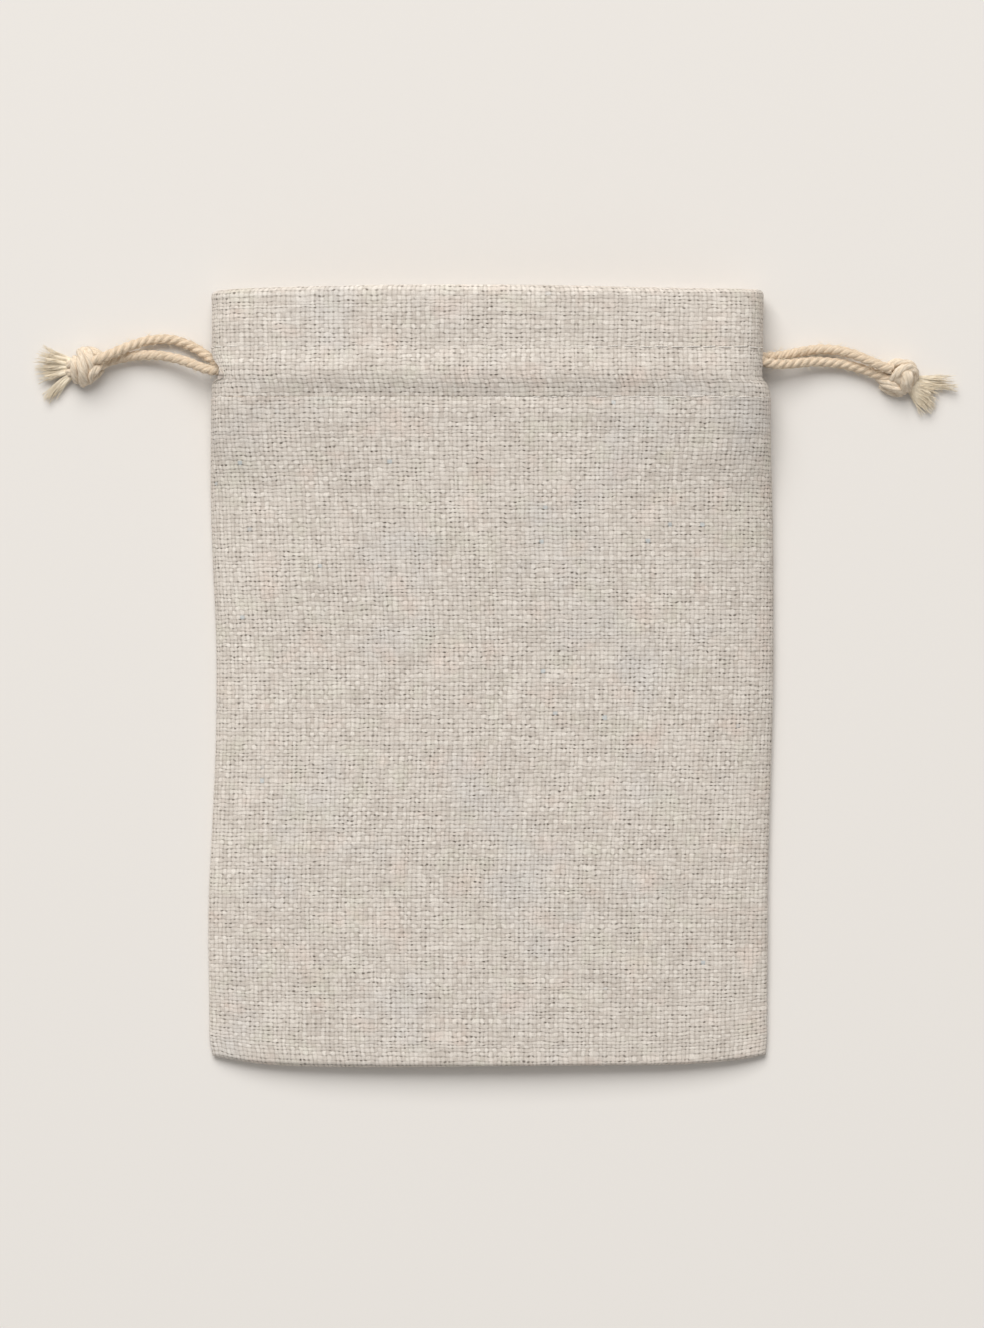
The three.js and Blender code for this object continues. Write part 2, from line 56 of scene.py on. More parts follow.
# Points on the dense curves that rows, columns and lines are cut from
SIDE_SAMPLES = 400
TUCK_SAMPLES = 50
FOLD_SAMPLES = 200
FRONT_SAMPLES = 800
LIP_SAMPLES = 100
RISE_SAMPLES = 300
LINE_SAMPLES = 24

# Rounding of the cloth's edges, the draw of the bottom corners, and the bow and tilt of the mouth
FOLD_Y = -0.6
FOLD_ROLL = 0.75
FOLD_TUCK = 5.0
FOLD_LIFT = 2.0
LIP_ROLL = 1.0
CORNER_DRAW = 2.0
CORNER_REACH = 25.0
CORNER_POWER = 6
MOUTH_Y = 139.3
MOUTH_BOW = 0.55
MOUTH_TILT = 0.2
BOW_REACH = 9.0

# Powers of a section's curves, and where along the pouch its flat lens ends below the casing and returns at
# the mouth
CROWN_POWER = 3
SIDE_POWER = 2.6
LENS_POWER = 2.2
LENS_ENDS = (100.0, 119.0)
LENS_RETURNS = (129.5, 139.0)
LENS_AT_MOUTH = 0.2

# Casing: the two stitch lines, the slit between them in each side seam, and the hem drawn in to the neck
LOWER_STITCH_Y = 119.5
UPPER_STITCH_Y = 128.4
SLIT_START = 121.8
SLIT_END = 129.0
SLIT_EASE = 1.2
SLIT_TURN_LEFT = math.radians(47)
SLIT_TURN_RIGHT = math.radians(16)
SLIT_TURN_BACK = math.radians(44)
SLIT_REACH = 0.10
HEM_INSET = 2.4
HEM_STARTS = 0.995
NECK = {"left": -38.0, "right": 38.0, "seam": 7.0, "roll": 4.0, "front": 2.0, "back": 2.6, "crown": 0.6}
NECK_BLEND = ([119.5, 120.6, 129.4, 131.4], [0.4, 1.0, 1.0, 0.0])

# Cross-sections of the lying pouch, from the bottom fold to the mouth: distance from the fold, left and right
# edge, height of the side seams, width and rise of the rounded sides, and rise of the middle above them
SECTIONS = np.array([
    (0.0, -49.5, 50.0, 1.0, 3.0, 2.9, 0.1),
    (2.4, -49.9, 50.2, 1.0, 3.0, 2.97, 0.2),
    (8.0, -49.9, 50.2, 1.0, 3.0, 3.1, 0.45),
    (18.0, -50.05, 50.25, 1.0, 3.0, 3.45, 0.75),
    (30.0, -50.0, 50.25, 1.0, 3.0, 3.8, 1.2),
    (45.0, -49.35, 50.65, 1.0, 3.0, 4.25, 1.75),
    (60.0, -48.7, 51.05, 1.0, 3.0, 4.75, 2.25),
    (75.0, -48.7, 51.35, 1.1, 3.2, 5.3, 2.6),
    (90.0, -49.45, 51.4, 1.3, 4.0, 6.2, 2.8),
    (102.0, -49.8, 51.2, 1.7, 5.6, 6.9, 2.65),
    (110.0, -49.75, 50.95, 2.3, 7.6, 7.25, 2.3),
    (115.0, -49.65, 50.85, 2.9, 9.0, 7.3, 2.05),
    (117.8, -49.6, 50.85, 3.3, 9.7, 7.35, 1.9),
    (119.5, -49.55, 50.8, 3.5, 10.0, 7.5, 1.5),
    (120.5, -49.5, 50.7, 3.6, 10.0, 7.65, 1.5),
    (121.6, -49.5, 50.35, 3.6, 10.0, 7.95, 1.6),
    (122.8, -49.5, 49.7, 3.6, 10.0, 8.25, 1.6),
    (124.0, -49.55, 49.5, 3.6, 10.0, 8.38, 1.6),
    (125.4, -49.55, 49.5, 3.6, 10.0, 8.33, 1.6),
    (127.0, -49.55, 49.5, 3.6, 10.0, 8.16, 1.6),
    (128.4, -49.55, 49.5, 3.6, 10.0, 8.04, 1.58),
    (129.8, -49.5, 49.5, 3.5, 10.0, 8.2, 1.56),
    (133.0, -49.5, 49.5, 3.2, 10.0, 8.65, 1.6),
    (136.6, -49.5, 49.6, 2.9, 10.0, 9.0, 1.7),
    (138.5, -49.6, 49.6, 2.8, 10.0, 9.0, 1.7),
    (139.5, -49.6, 49.6, 2.8, 10.0, 8.8, 1.6),
])

# Relief of the weave: its depth, then its parts as shares of that, and the reach of their unevenness in rows
# and columns of the grid, of which a thread takes two
WEAVE_DEPTH = 0.11
WARP_GAP_DEPTH = 0.30
WEFT_GAP_DEPTH = 0.25
GAP_CHANGE = 0.4
HOLE_DEPTH = 0.40
SLUB_LEVEL = 1.2
SLUB_HEIGHT = 0.4
WARP_REACH = (14, 0.4)
WEFT_REACH = (0.4, 18)
HOLE_REACH = (1.2, 1.2)

# Wandering warp threads, swaying weft threads and soft rumples of the cloth, and how far the pattern moves on
# from one panel to the next
WANDER_SHARE = 0.22
WANDER_REACH = (45, 1.5)
WANDER_EDGE = 12
SWAY = 0.10
SWAY_REACH = (1.5, 45)
SWAY_EDGE = 8
RUMPLE = 0.10
RUMPLE_REACH = (30, 30)
PATTERN_SHIFT = (7.0, 3.0)

# Drawstrings: three-ply twine, from knot to knot. In a casing it has LANE_SPANS spans to each side of the
# middle. A strand's points are x, distance from the fold, and z, as in the pouch's drawing, and two more
# points carry it on into its knot.
PLIES = 3
PLY_RADIUS = 0.57
PLY_OFFSET = 0.35
PLY_TURN = 4.6
CORD_STEP = 0.3
PLY_SIDES = 10
LANE_LEFT_Y = 124.4
LANE_RIGHT_Y = 127.0
LANE_END_X = 40.0
LANE_SPANS = 3
TURN_X = 42.0
TURN_SPANS = 6
FRONT_LANE_Z = 11.8
LANE_CROWN = 1.6
LANE_REACH = 43.15
BACK_LANE_Z = 2.2
LEFT_FRONT_STRAND = [
    (-69.0, 125.9, 1.6), (-67.0, 126.5, 1.6), (-65.2, 126.9, 1.6), (-63.4, 127.2, 1.7), (-61.6, 127.3, 1.9),
    (-59.8, 127.3, 2.1), (-58.0, 127.1, 2.4), (-56.2, 126.7, 2.7), (-54.4, 126.2, 3.2), (-52.6, 125.5, 3.8),
    (-50.8, 124.8, 4.5), (-49.0, 124.4, 5.3), (-47.2, 124.4, 6.4), (-45.6, 124.4, 7.7), (-44.0, 124.4, 9.1),
    (-42.2, 124.4, 10.2),
]
LEFT_BACK_STRAND = [
    (-68.6, 127.0, 4.0), (-67.0, 127.7, 3.6), (-65.2, 128.5, 3.0), (-63.4, 129.2, 2.3), (-61.6, 129.8, 1.7),
    (-59.8, 130.1, 1.3), (-58.0, 130.2, 1.2), (-56.2, 130.0, 1.2), (-54.4, 129.4, 1.3), (-52.6, 128.6, 1.5),
    (-50.8, 127.4, 2.2), (-49.4, 126.4, 2.9), (-48.0, 125.4, 3.3), (-46.4, 124.7, 3.2), (-44.4, 124.4, 2.6),
    (-42.2, 124.4, 2.2),
]
RIGHT_FRONT_STRAND = [
    (70.0, 123.8, 2.1), (68.6, 124.4, 1.9), (67.0, 124.9, 1.7), (65.2, 125.4, 1.6), (63.4, 125.8, 1.7),
    (61.6, 126.0, 1.8), (59.8, 126.1, 2.0), (58.0, 126.1, 2.3), (56.2, 125.9, 2.7), (54.4, 125.7, 3.2),
    (52.6, 125.6, 3.8), (50.8, 125.7, 4.5), (49.0, 126.1, 5.3), (47.2, 126.6, 6.4), (45.6, 126.9, 7.7),
    (44.0, 127.0, 9.1), (42.2, 127.0, 10.2),
]
RIGHT_BACK_STRAND = [
    (70.0, 125.6, 3.5), (68.6, 126.2, 3.3), (67.0, 126.9, 2.9), (65.2, 127.6, 2.4), (63.4, 128.1, 1.9),
    (61.6, 128.3, 1.5), (59.8, 128.4, 1.3), (58.0, 128.2, 1.2), (56.2, 127.9, 1.2), (54.4, 127.5, 1.4),
    (52.6, 127.2, 1.8), (50.8, 127.0, 2.5), (49.0, 126.9, 3.0), (47.2, 126.9, 3.2), (45.2, 127.0, 2.9),
    (43.6, 127.0, 2.4), (42.0, 127.0, 2.2),
]
LEFT_FRONT_TIE = [(-71.6, 125.0, 2.2), (-70.4, 125.4, 1.8)]
LEFT_BACK_TIE = [(-71.4, 126.0, 3.2), (-70.1, 126.4, 3.75)]
RIGHT_FRONT_TIE = [(72.6, 122.9, 2.5), (71.4, 123.3, 2.3)]
RIGHT_BACK_TIE = [(72.6, 124.6, 3.4), (71.4, 125.0, 3.5)]

# Knots: bights of twine on a rounded core. A bight has its size against the free twine, then its points in
# millimetres from the knot's middle, with z above the table before the knot is let down on it. The plies turn
# more slowly in a knot, which pulls them straight.
KNOT_HEIGHT = 2.6
KNOT_TURN = 9.0
BIGHT_SPANS = 60
CORE_RINGS = 14
CORE_SIDES = 20
LEFT_MIDDLE = (-72.1, 125.2)
LEFT_CORE = (2.5, 2.3, 1.9)
LEFT_BIGHTS = [
    (0.86, [(-2.0, 1.4, 2.2), (-2.1, 0.85, 3.7), (-2.1, -0.2, 4.2), (-2.0, -1.3, 3.8), (-1.8, -2.2, 2.7),
            (-1.7, -2.4, 1.4)]),
    (1.16, [(-0.8, 2.7, 1.4), (-0.8, 2.4, 3.1), (-0.7, 1.4, 4.2), (-0.6, 0.0, 4.6), (-0.5, -1.4, 4.2),
            (-0.45, -2.4, 3.0), (-0.5, -2.7, 1.5)]),
    (0.98, [(0.3, 2.9, 1.5), (0.4, 2.8, 3.0), (0.6, 1.95, 4.0), (0.8, 0.9, 4.4), (0.9, -0.3, 4.0),
            (1.1, -1.2, 2.9)]),
    (0.92, [(3.3, 0.5, 2.2), (2.5, 0.1, 3.4), (1.6, -0.7, 4.2), (0.9, -1.5, 3.9), (0.6, -2.3, 2.6)]),
    (0.72, [(2.7, -0.5, 1.5), (2.1, -1.3, 2.7), (1.3, -2.0, 2.8), (0.4, -2.6, 1.9)]),
    (0.94, [(3.1, 1.4, 2.3), (2.3, 2.1, 2.9), (1.3, 2.7, 2.7), (0.2, 3.0, 1.9)]),
    (0.84, [(-3.4, -0.9, 1.7), (-2.6, -1.0, 2.6), (-1.7, -1.3, 2.4), (-0.9, -1.8, 1.8)]),
    (0.90, [(-3.2, 0.5, 2.2), (-2.4, 0.6, 2.9), (-1.5, 0.9, 3.0), (-0.6, 1.5, 2.6)]),
]
RIGHT_MIDDLE = (74.4, 123.6)
RIGHT_CORE = (2.2, 2.0, 1.9)
RIGHT_BIGHTS = [
    (0.92, [(-2.0, 0.6, 2.4), (-2.2, 1.6, 2.9), (-1.2, 2.2, 3.3), (0.3, 2.2, 3.4), (1.6, 1.8, 3.2),
            (2.3, 0.8, 2.8), (2.2, -0.4, 2.2), (1.6, -1.5, 1.5)]),
    (1.00, [(-2.3, -1.2, 1.8), (-1.4, -0.3, 3.4), (-0.5, 0.6, 4.2), (0.3, 1.2, 4.3), (1.2, 1.3, 3.8),
            (1.9, 0.7, 3.0)]),
    (1.26, [(0.7, 0.5, 3.5), (0.85, -0.2, 4.4), (0.85, -1.05, 4.4), (0.8, -1.9, 3.2), (0.7, -2.3, 1.8)]),
    (1.14, [(-3.9, -0.3, 1.4), (-3.1, -1.1, 2.3), (-1.9, -1.7, 2.8), (-0.7, -2.3, 2.5), (0.3, -2.9, 1.5)]),
    (0.90, [(-3.5, -1.6, 1.1), (-2.9, -2.2, 1.3), (-1.8, -2.7, 1.4), (-0.4, -3.1, 1.1)]),
    (0.84, [(1.6, 1.8, 1.3), (-0.2, 2.2, 1.3), (-1.9, 1.6, 1.3), (-2.6, 0.2, 1.2)]),
]

# Frayed tails, a row for each tuft: its heading in degrees from +X, its length from the middle of the knot,
# the spread of its locks in degrees, how many locks, the height of the tips, a lock's girth and its sideways
# bend
LEFT_TUFTS = [
    (157, 8.7, 0, 1, 2.0, 1.30, 0.3), (170, 9.2, 0, 1, 1.8, 1.25, -0.1), (188, 9.3, 10, 2, 1.1, 1.20, -0.3),
    (206, 9.2, 6, 2, 0.9, 1.00, 1.8),
]
RIGHT_TUFTS = [
    (-55, 7.9, 8, 2, 1.1, 1.15, 0.2), (-41, 8.1, 8, 2, 1.2, 1.20, -0.2), (-26, 7.8, 8, 2, 1.4, 1.10, 0.2),
    (-9, 9.6, 9, 2, 1.6, 0.80, 0.3),
]

# A lock: where it starts, how it differs from its tuft's row, how it lies, and its ply, whose radius is a
# share of the girth that swells a little and then tapers
TAIL_ROOT_Z = 0.84 * KNOT_HEIGHT
TAIL_START = 0.14
LOCK_HEADING = 2.0
LOCK_REACH = (0.92, 1.04)
LOCK_BEND = 0.3
LOCK_TIP = (0.8, 1.3)
LOCK_TWIST = (1.0, 2.5)
LOCK_LIES = 0.55
LOCK_FALLS = 0.35
LOCK_FLATTENED = 0.8
LOCK_PLY = 0.42
LOCK_SWELL = 0.06
LOCK_TAPER = 0.33
LOCK_PLY_REACH = 0.84

# The fibres of a lock: how far they reach, where on the ply they lie, how they open at the tip, and their
# wave
FIBRES = 44
FIBRE_STEPS = 14
FIBRE_SIDES = 6
FIBRE_RADIUS = 0.06
FIBRE_TAPER = 0.5
FIBRE_REACH = (0.74, 1.06)
FIBRE_PLACE = (0.86, 1.02)
FIBRE_OPENS = 0.9
FIBRE_WAVE = 0.12
FIBRE_WAVES = (1.0, 2.2)
FIBRE_WAVE_RISE = 0.6

# Stray hairs of the twine, where it shows beyond the cloth
HAIRS = 500
HAIR_STEPS = 7
HAIR_RADIUS = 0.03
HAIR_TAPER = 0.6
HAIR_SIDES = 4
HAIRS_FROM_X = 49.0
HAIR_ROOT = 0.8
HAIR_LEAN = 1.2
HAIR_LIFT = (0.15, 0.75)
HAIR_LIFT_POWER = (0.8, 1.8)
HAIR_SWAY = 0.35
HAIR_RUN = (0.5, 1.9)

# Stitches of the casing. Their rise and sink are against their radius.
STITCH = 2.35
STITCH_PITCH = 2.85
STITCH_RADIUS = 0.14
STITCH_STEPS = 9
STITCH_SIDES = 8
STITCH_SHIFT = 0.1
STITCH_LENGTHS = (0.9, 1.08)
STITCH_ASIDE = 0.12
STITCH_SLANT = 0.15
STITCH_RISE = 1.2
STITCH_ROUND = 0.6
UPPER_SINK = 1.75
LOWER_SINK = 2.1


# Arrays and meshes

def soft_noise(seed, shape, reach):
    """A random field of unit spread: white noise blurred by a Gaussian of the given reach in rows and
    columns."""
    white = np.fft.rfft2(np.random.default_rng(seed).standard_normal(shape))
    rows = np.fft.fftfreq(shape[0])[:, None] * reach[0]
    columns = np.fft.rfftfreq(shape[1])[None, :] * reach[1]
    blurred = np.fft.irfft2(white * np.exp(-2 * np.pi ** 2 * (rows ** 2 + columns ** 2)), s=shape)
    return blurred / blurred.std()


def unit(vectors):
    """Vectors divided by their lengths."""
    return vectors / np.linalg.norm(vectors, axis=-1, keepdims=True)


def ease(values, low, high):
    """A smooth step from 0 at low to 1 at high."""
    t = np.clip((values - low) / (high - low), 0, 1)
    return t * t * (3 - 2 * t)


def make_piece(name, node, slot, points, faces, values, material, key="lay"):
    """One object that replaces a CAD node, shaded smooth: points in millimetres, lists of faces and a named
    attribute of the points."""
    mesh = bpy.data.meshes.new(name)
    corners = [corner for group in faces for corner in group.tolist()]
    mesh.from_pydata(points * MM, [], corners)
    layer = mesh.attributes.new(key, "FLOAT_VECTOR", "POINT")
    layer.data.foreach_set("vector", np.ascontiguousarray(values, np.float32).ravel())
    mesh.materials.append(material)
    mesh.shade_smooth()
    mesh.set_sharp_from_angle(angle=SHARP_ANGLE)
    piece = bpy.data.objects.new(name, mesh)
    bpy.context.scene.collection.objects.link(piece)
    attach(piece, "root")
    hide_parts(node)
    return piece


# Linen

def sections_at(y):
    """The six section values at distances y from the fold: a cubic through the rows, with each row's slope
    taken from its neighbours."""
    rows, values = SECTIONS[:, 0], SECTIONS[:, 1:]
    slopes = np.gradient(values, rows, axis=0)
    k = np.clip(np.searchsorted(rows, y, side="right") - 1, 0, len(rows) - 2)
    span = (rows[k + 1] - rows[k])[:, None]
    t = np.clip((y - rows[k])[:, None] / span, 0, 1)
    start = values[k] * (1 + 2 * t) * (1 - t) ** 2 + slopes[k] * span * t * (1 - t) ** 2
    end = values[k + 1] * t * t * (3 - 2 * t) + slopes[k + 1] * span * t * t * (t - 1)
    return (start + end).T


def along(x, y):
    """Y in the part's frame at a distance y from the fold: the bottom corners are drawn up, and the mouth is
    bowed and tilted, by distances that depend on x."""
    u = np.abs(x) / HALF_WIDTH
    corner = CORNER_DRAW * u ** CORNER_POWER * np.maximum(0, 1 - y / CORNER_REACH) ** 2
    bow = MOUTH_BOW * u ** 2 - MOUTH_TILT * x / HALF_WIDTH
    return y + corner - bow * np.maximum(0, (y - LENGTH + BOW_REACH) / BOW_REACH) - LENGTH / 2


def flatness(y):
    """How much of a row's section is one flat lens: all of it in the body, none at the casing, a little at
    the mouth."""
    return 1 - ease(y, *LENS_ENDS) + LENS_AT_MOUTH * ease(y, *LENS_RETURNS)


def section_curve(left, right, seam, roll, rise, crown, lens):
    """Dense x and z of each row's section: a quarter of a superellipse from the left seam, the crowned
    middle, and the same quarter to the right seam. A negative rise gives the underside. The share lens of the
    height is that of a single superellipse from seam to seam."""
    left, right, seam, roll, rise, crown, lens = (
        values[:, None] for values in (left, right, seam, roll, rise, crown, lens))
    angle = math.pi / 2 * np.linspace(0, 1, SIDE_SAMPLES)[None, :]
    u = np.linspace(-1, 1, 2 * SIDE_SAMPLES)[None, 1:-1]
    side_x = roll * (1 - np.cos(angle) ** (2 / SIDE_POWER))
    side_z = seam + rise * np.sin(angle) ** (2 / SIDE_POWER)
    top_x = left + roll + (right - left - 2 * roll) * (u + 1) / 2
    top_z = seam + rise + crown * (1 - np.abs(u) ** CROWN_POWER)
    x = np.hstack([left + side_x, top_x, (right - side_x)[:, ::-1]])
    z = np.hstack([side_z, top_z, side_z[:, ::-1]])
    u = np.minimum(1, np.abs(2 * x - left - right) / (right - left))
    flat = seam + (rise + crown) * (1 - u ** LENS_POWER) ** (1 / LENS_POWER)
    return x, z + lens * (flat - z)


def even_columns(x, z, share, left_turn, right_turn):
    """Points at given shares of each section's own length, found on the running length of its dense curve.
    Where a turn is above 0, the outer columns close up to begin or end at that angle round the side."""
    steps = np.hypot(np.diff(x, axis=1, prepend=x[:, :1]), np.diff(z, axis=1, prepend=z[:, :1]))
    run = np.cumsum(steps, axis=1)
    run = run / run[:, -1:]
    row = 2.0 * np.arange(len(x))[:, None]

    def closing(away, turn):
        """How far a column moves in: by the length up to the turn at the edge, and less further away."""
        sample = np.rint(turn / (math.pi / 2) * (SIDE_SAMPLES - 1)).astype(int)[:, None]
        return np.take_along_axis(run, sample, 1) * np.maximum(0, 1 - away / SLIT_REACH) ** 2

    share = share + closing(share, left_turn) - closing(1 - share, right_turn)
    want = (np.clip(share, 0, 1) + row).ravel()
    return [np.interp(want, (run + row).ravel(), values.ravel()).reshape(share.shape) for values in (x, z)]


def even_rows(y, z, carried):
    """Y and a value carried along the dense path (y, z), cut at even steps of half a weft thread, a whole
    number of INNER_STEP steps."""
    run = np.concatenate([[0], np.cumsum(np.hypot(np.diff(y), np.diff(z)))])
    count = INNER_STEP * round(run[-1] / (WEFT_PITCH / 2) / INNER_STEP)
    want = np.linspace(0, run[-1], count + 1)
    return np.interp(want, run, y), np.interp(want, run, carried)


def body_rows():
    """Rows of the front body: y and a signed lift, from under the bottom fold, round it and up to the lower
    stitch line. The lift is the sine of the angle round the fold, -1 underneath and 1 on top."""
    top = FOLD_Y + FOLD_ROLL
    angle = np.linspace(-math.pi / 2, math.pi / 2, FOLD_SAMPLES)
    flat = np.linspace(FOLD_TUCK, top, TUCK_SAMPLES)[:-1]
    front = np.linspace(top, LOWER_STITCH_Y, FRONT_SAMPLES)[1:]
    y = np.concatenate([flat, top - FOLD_ROLL * np.cos(angle), front])
    lift = np.concatenate([-np.ones_like(flat), np.sin(angle), np.ones_like(front)])
    return even_rows(y, FOLD_LIFT * lift, lift)


def heading_rows():
    """Rows of the casing, the heading and the hem: y and depth below the outside, from the lower stitch line,
    over the rounded lip of the mouth and back inside to the lower stitch line."""
    angle = np.linspace(0, math.pi, LIP_SAMPLES)
    rise = np.linspace(LOWER_STITCH_Y, MOUTH_Y - LIP_ROLL, RISE_SAMPLES)
    y = np.concatenate([rise[:-1], MOUTH_Y - LIP_ROLL + LIP_ROLL * np.sin(angle), rise[::-1][1:]])
    depth = np.concatenate([0 * rise[:-1], LIP_ROLL * (1 - np.cos(angle)), 0 * rise[1:] + 2 * LIP_ROLL])
    return even_rows(y, depth, depth)


def slit_turns(y, depth, front):
    """How far round the left and the right side the edge of the slit lies: in front most at its lower end and
    ever less towards the mouth, behind the same all along, and none outside the slit or on the hem inside."""
    closing = SLIT_START + SLIT_EASE if front else SLIT_END - SLIT_EASE
    opened = ease(y, SLIT_START, SLIT_START + SLIT_EASE) * (1 - ease(y, closing, SLIT_END))
    opened = opened * (depth < LIP_ROLL / 2)
    left, right = (SLIT_TURN_LEFT, SLIT_TURN_RIGHT) if front else (SLIT_TURN_BACK, SLIT_TURN_BACK)
    return left * opened, right * opened


def thread_share(rows, columns, seed):
    """Where each column lies across the cloth: even, with each warp thread wandering a little along its way,
    and less at the edges."""
    even = np.linspace(0, 1, columns)[None, :] + np.zeros((rows, 1))
    wander = WANDER_SHARE / columns * soft_noise(seed, (rows, columns), WANDER_REACH)
    return even + wander * np.minimum(1, WANDER_EDGE * np.minimum(even, 1 - even))


def weave_relief(rows, columns, seed):
    """Depth of the woven surface, with two columns to a warp thread and two rows to a weft thread: high where
    threads cross, low in the gaps, deepest where four threads leave a hole, and raised along slubs."""
    over_warp = (np.arange(columns) % 2)[None, :]
    over_weft = (np.arange(rows) % 2)[:, None]
    warp = soft_noise(seed, (rows, columns), WARP_REACH)
    weft = soft_noise(seed + 1, (rows, columns), WEFT_REACH)
    hole = soft_noise(seed + 2, (rows, columns), HOLE_REACH)
    warp_gap = WARP_GAP_DEPTH * (1 - over_warp) * (1 - GAP_CHANGE * warp)
    weft_gap = WEFT_GAP_DEPTH * (1 - over_weft) * (1 - GAP_CHANGE * weft)
    pit = HOLE_DEPTH * (1 - over_warp) * (1 - over_weft) * (1 + hole)
    slub = np.maximum(0, warp - SLUB_LEVEL) * over_warp + np.maximum(0, weft - SLUB_LEVEL) * over_weft
    return WEAVE_DEPTH * (SLUB_HEIGHT * slub - (warp_gap + weft_gap) - pit), slub


def shell_faces(rows, columns):
    """Faces of a closed shell: a fine outer grid, a coarse inner grid every INNER_STEP points, and a strip
    round the border that fans each coarse edge over its fine edges. The inner grid's points follow the outer
    ones."""
    def grid(r, c, first):
        """Quads and border of a grid of r rows and c columns, numbered from first."""
        index = first + np.arange(r * c).reshape(r, c)
        quads = np.stack([index[:-1, :-1], index[:-1, 1:], index[1:, 1:], index[1:, :-1]], -1)
        border = np.concatenate([index[0, :-1], index[:-1, -1], index[-1, :0:-1], index[:0:-1, 0]])
        return quads.reshape(-1, 4), border

    outer, fine = grid(rows, columns, 0)
    inner, coarse = grid((rows - 1) // INNER_STEP + 1, (columns - 1) // INNER_STEP + 1, rows * columns)
    after = np.roll(fine, -1)
    fans = np.stack([after, fine, np.repeat(coarse, INNER_STEP)], -1)
    links = np.stack([after[INNER_STEP - 1::INNER_STEP], coarse, np.roll(coarse, -1)], -1)
    return [outer, inner[:, ::-1], fans, links]


def linen_panel(name, y, section, turns, on_top, front, seed, material):
    """One panel of linen as a thin closed shell on its rows: the weave's relief outside, with soft rumples in
    the rows that lie on top, and a plain inner face one thickness below. The section holds what section_curve
    takes, and the turns what even_columns takes, a value for each row."""
    columns = 1 + 2 * INNER_STEP * round((2 * HALF_WIDTH + ROW_EXTRA) / WARP_PITCH / INNER_STEP)
    rows = len(y)
    x, z = even_columns(*section_curve(*section), thread_share(rows, columns, seed), *turns)
    row = np.arange(rows)[:, None]
    sway = SWAY * soft_noise(seed + 3, (rows, columns), SWAY_REACH)
    sway = sway * np.minimum(1, np.minimum(row, rows - 1 - row) / SWAY_EDGE)
    base = np.stack([x, along(x, y[:, None] + sway), z], -1)
    outward = unit(np.cross(np.gradient(base, axis=1), np.gradient(base, axis=0))) * (1 if front else -1)
    relief, slub = weave_relief(rows, columns, seed + 4)
    rumple = RUMPLE * soft_noise(seed + 8, (rows, columns), RUMPLE_REACH) * on_top[:, None]
    outside = base + outward * (relief + rumple)[..., None]
    outside[..., 2] = np.maximum(outside[..., 2], 0)
    inside = (base - outward * LINEN_THICKNESS)[::INNER_STEP, ::INNER_STEP]
    warp = np.arange(columns)[None, :] / 2 + np.zeros((rows, 1)) + PATTERN_SHIFT[0] * seed
    weft = row / 2 + np.zeros((1, columns)) + PATTERN_SHIFT[1] * seed
    threads = np.stack([warp, weft, slub], -1)
    points = np.concatenate([outside.reshape(-1, 3), inside.reshape(-1, 3)])
    coords = np.concatenate([threads.reshape(-1, 3), threads[::INNER_STEP, ::INNER_STEP].reshape(-1, 3)])
    faces = shell_faces(rows, columns)
    faces = faces if front else [group[:, ::-1] for group in faces]
    return make_piece(name, "pouch_cloth", "linen", points, faces, coords, material, key="thread")


def body_panel(name, front, seed, material):
    """The body below the lower stitch line. The front wraps round the bottom fold, and the back starts behind
    it."""
    if front:
        y, lift = body_rows()
    else:
        spans = INNER_STEP * round((LOWER_STITCH_Y - FOLD_TUCK) / (WEFT_PITCH / 2) / INNER_STEP)
        y = np.linspace(FOLD_TUCK, LOWER_STITCH_Y, spans + 1)
        lift = -np.ones_like(y)
    left, right, seam, roll, flank, crown = sections_at(y)
    on_top = lift > 0
    rise = np.where(on_top, flank, seam) * lift
    section = (left, right, seam, roll, rise, crown * np.maximum(lift, 0), flatness(y) * on_top)
    return linen_panel(name, y, section, (0 * y, 0 * y), on_top, front, seed, material)


def heading_panel(name, front, seed, material):
    """The casing, the heading and the hem turned inside, which is drawn in to the neck between the
    casings."""
    y, depth = heading_rows()
    left, right, seam, roll, flank, crown = sections_at(y)
    inset = HEM_INSET * depth / (2 * LIP_ROLL)
    drawn = np.interp(y, *NECK_BLEND) * (depth > HEM_STARTS * 2 * LIP_ROLL)

    def to_neck(value, key):
        """A section value, which gives way to the neck's own where the hem is drawn in."""
        return value + (NECK[key] - value) * drawn

    rise = to_neck((flank if front else seam) - depth, "front" if front else "back")
    section = (to_neck(left + inset, "left"), to_neck(right - inset, "right"), to_neck(seam, "seam"),
               to_neck(roll, "roll"), rise if front else -rise, to_neck(crown, "crown") * front,
               flatness(y) * front)
    on_top = np.full(len(y), front)
    return linen_panel(name, y, section, slit_turns(y, depth, front), on_top, front, seed, material)


# Twine

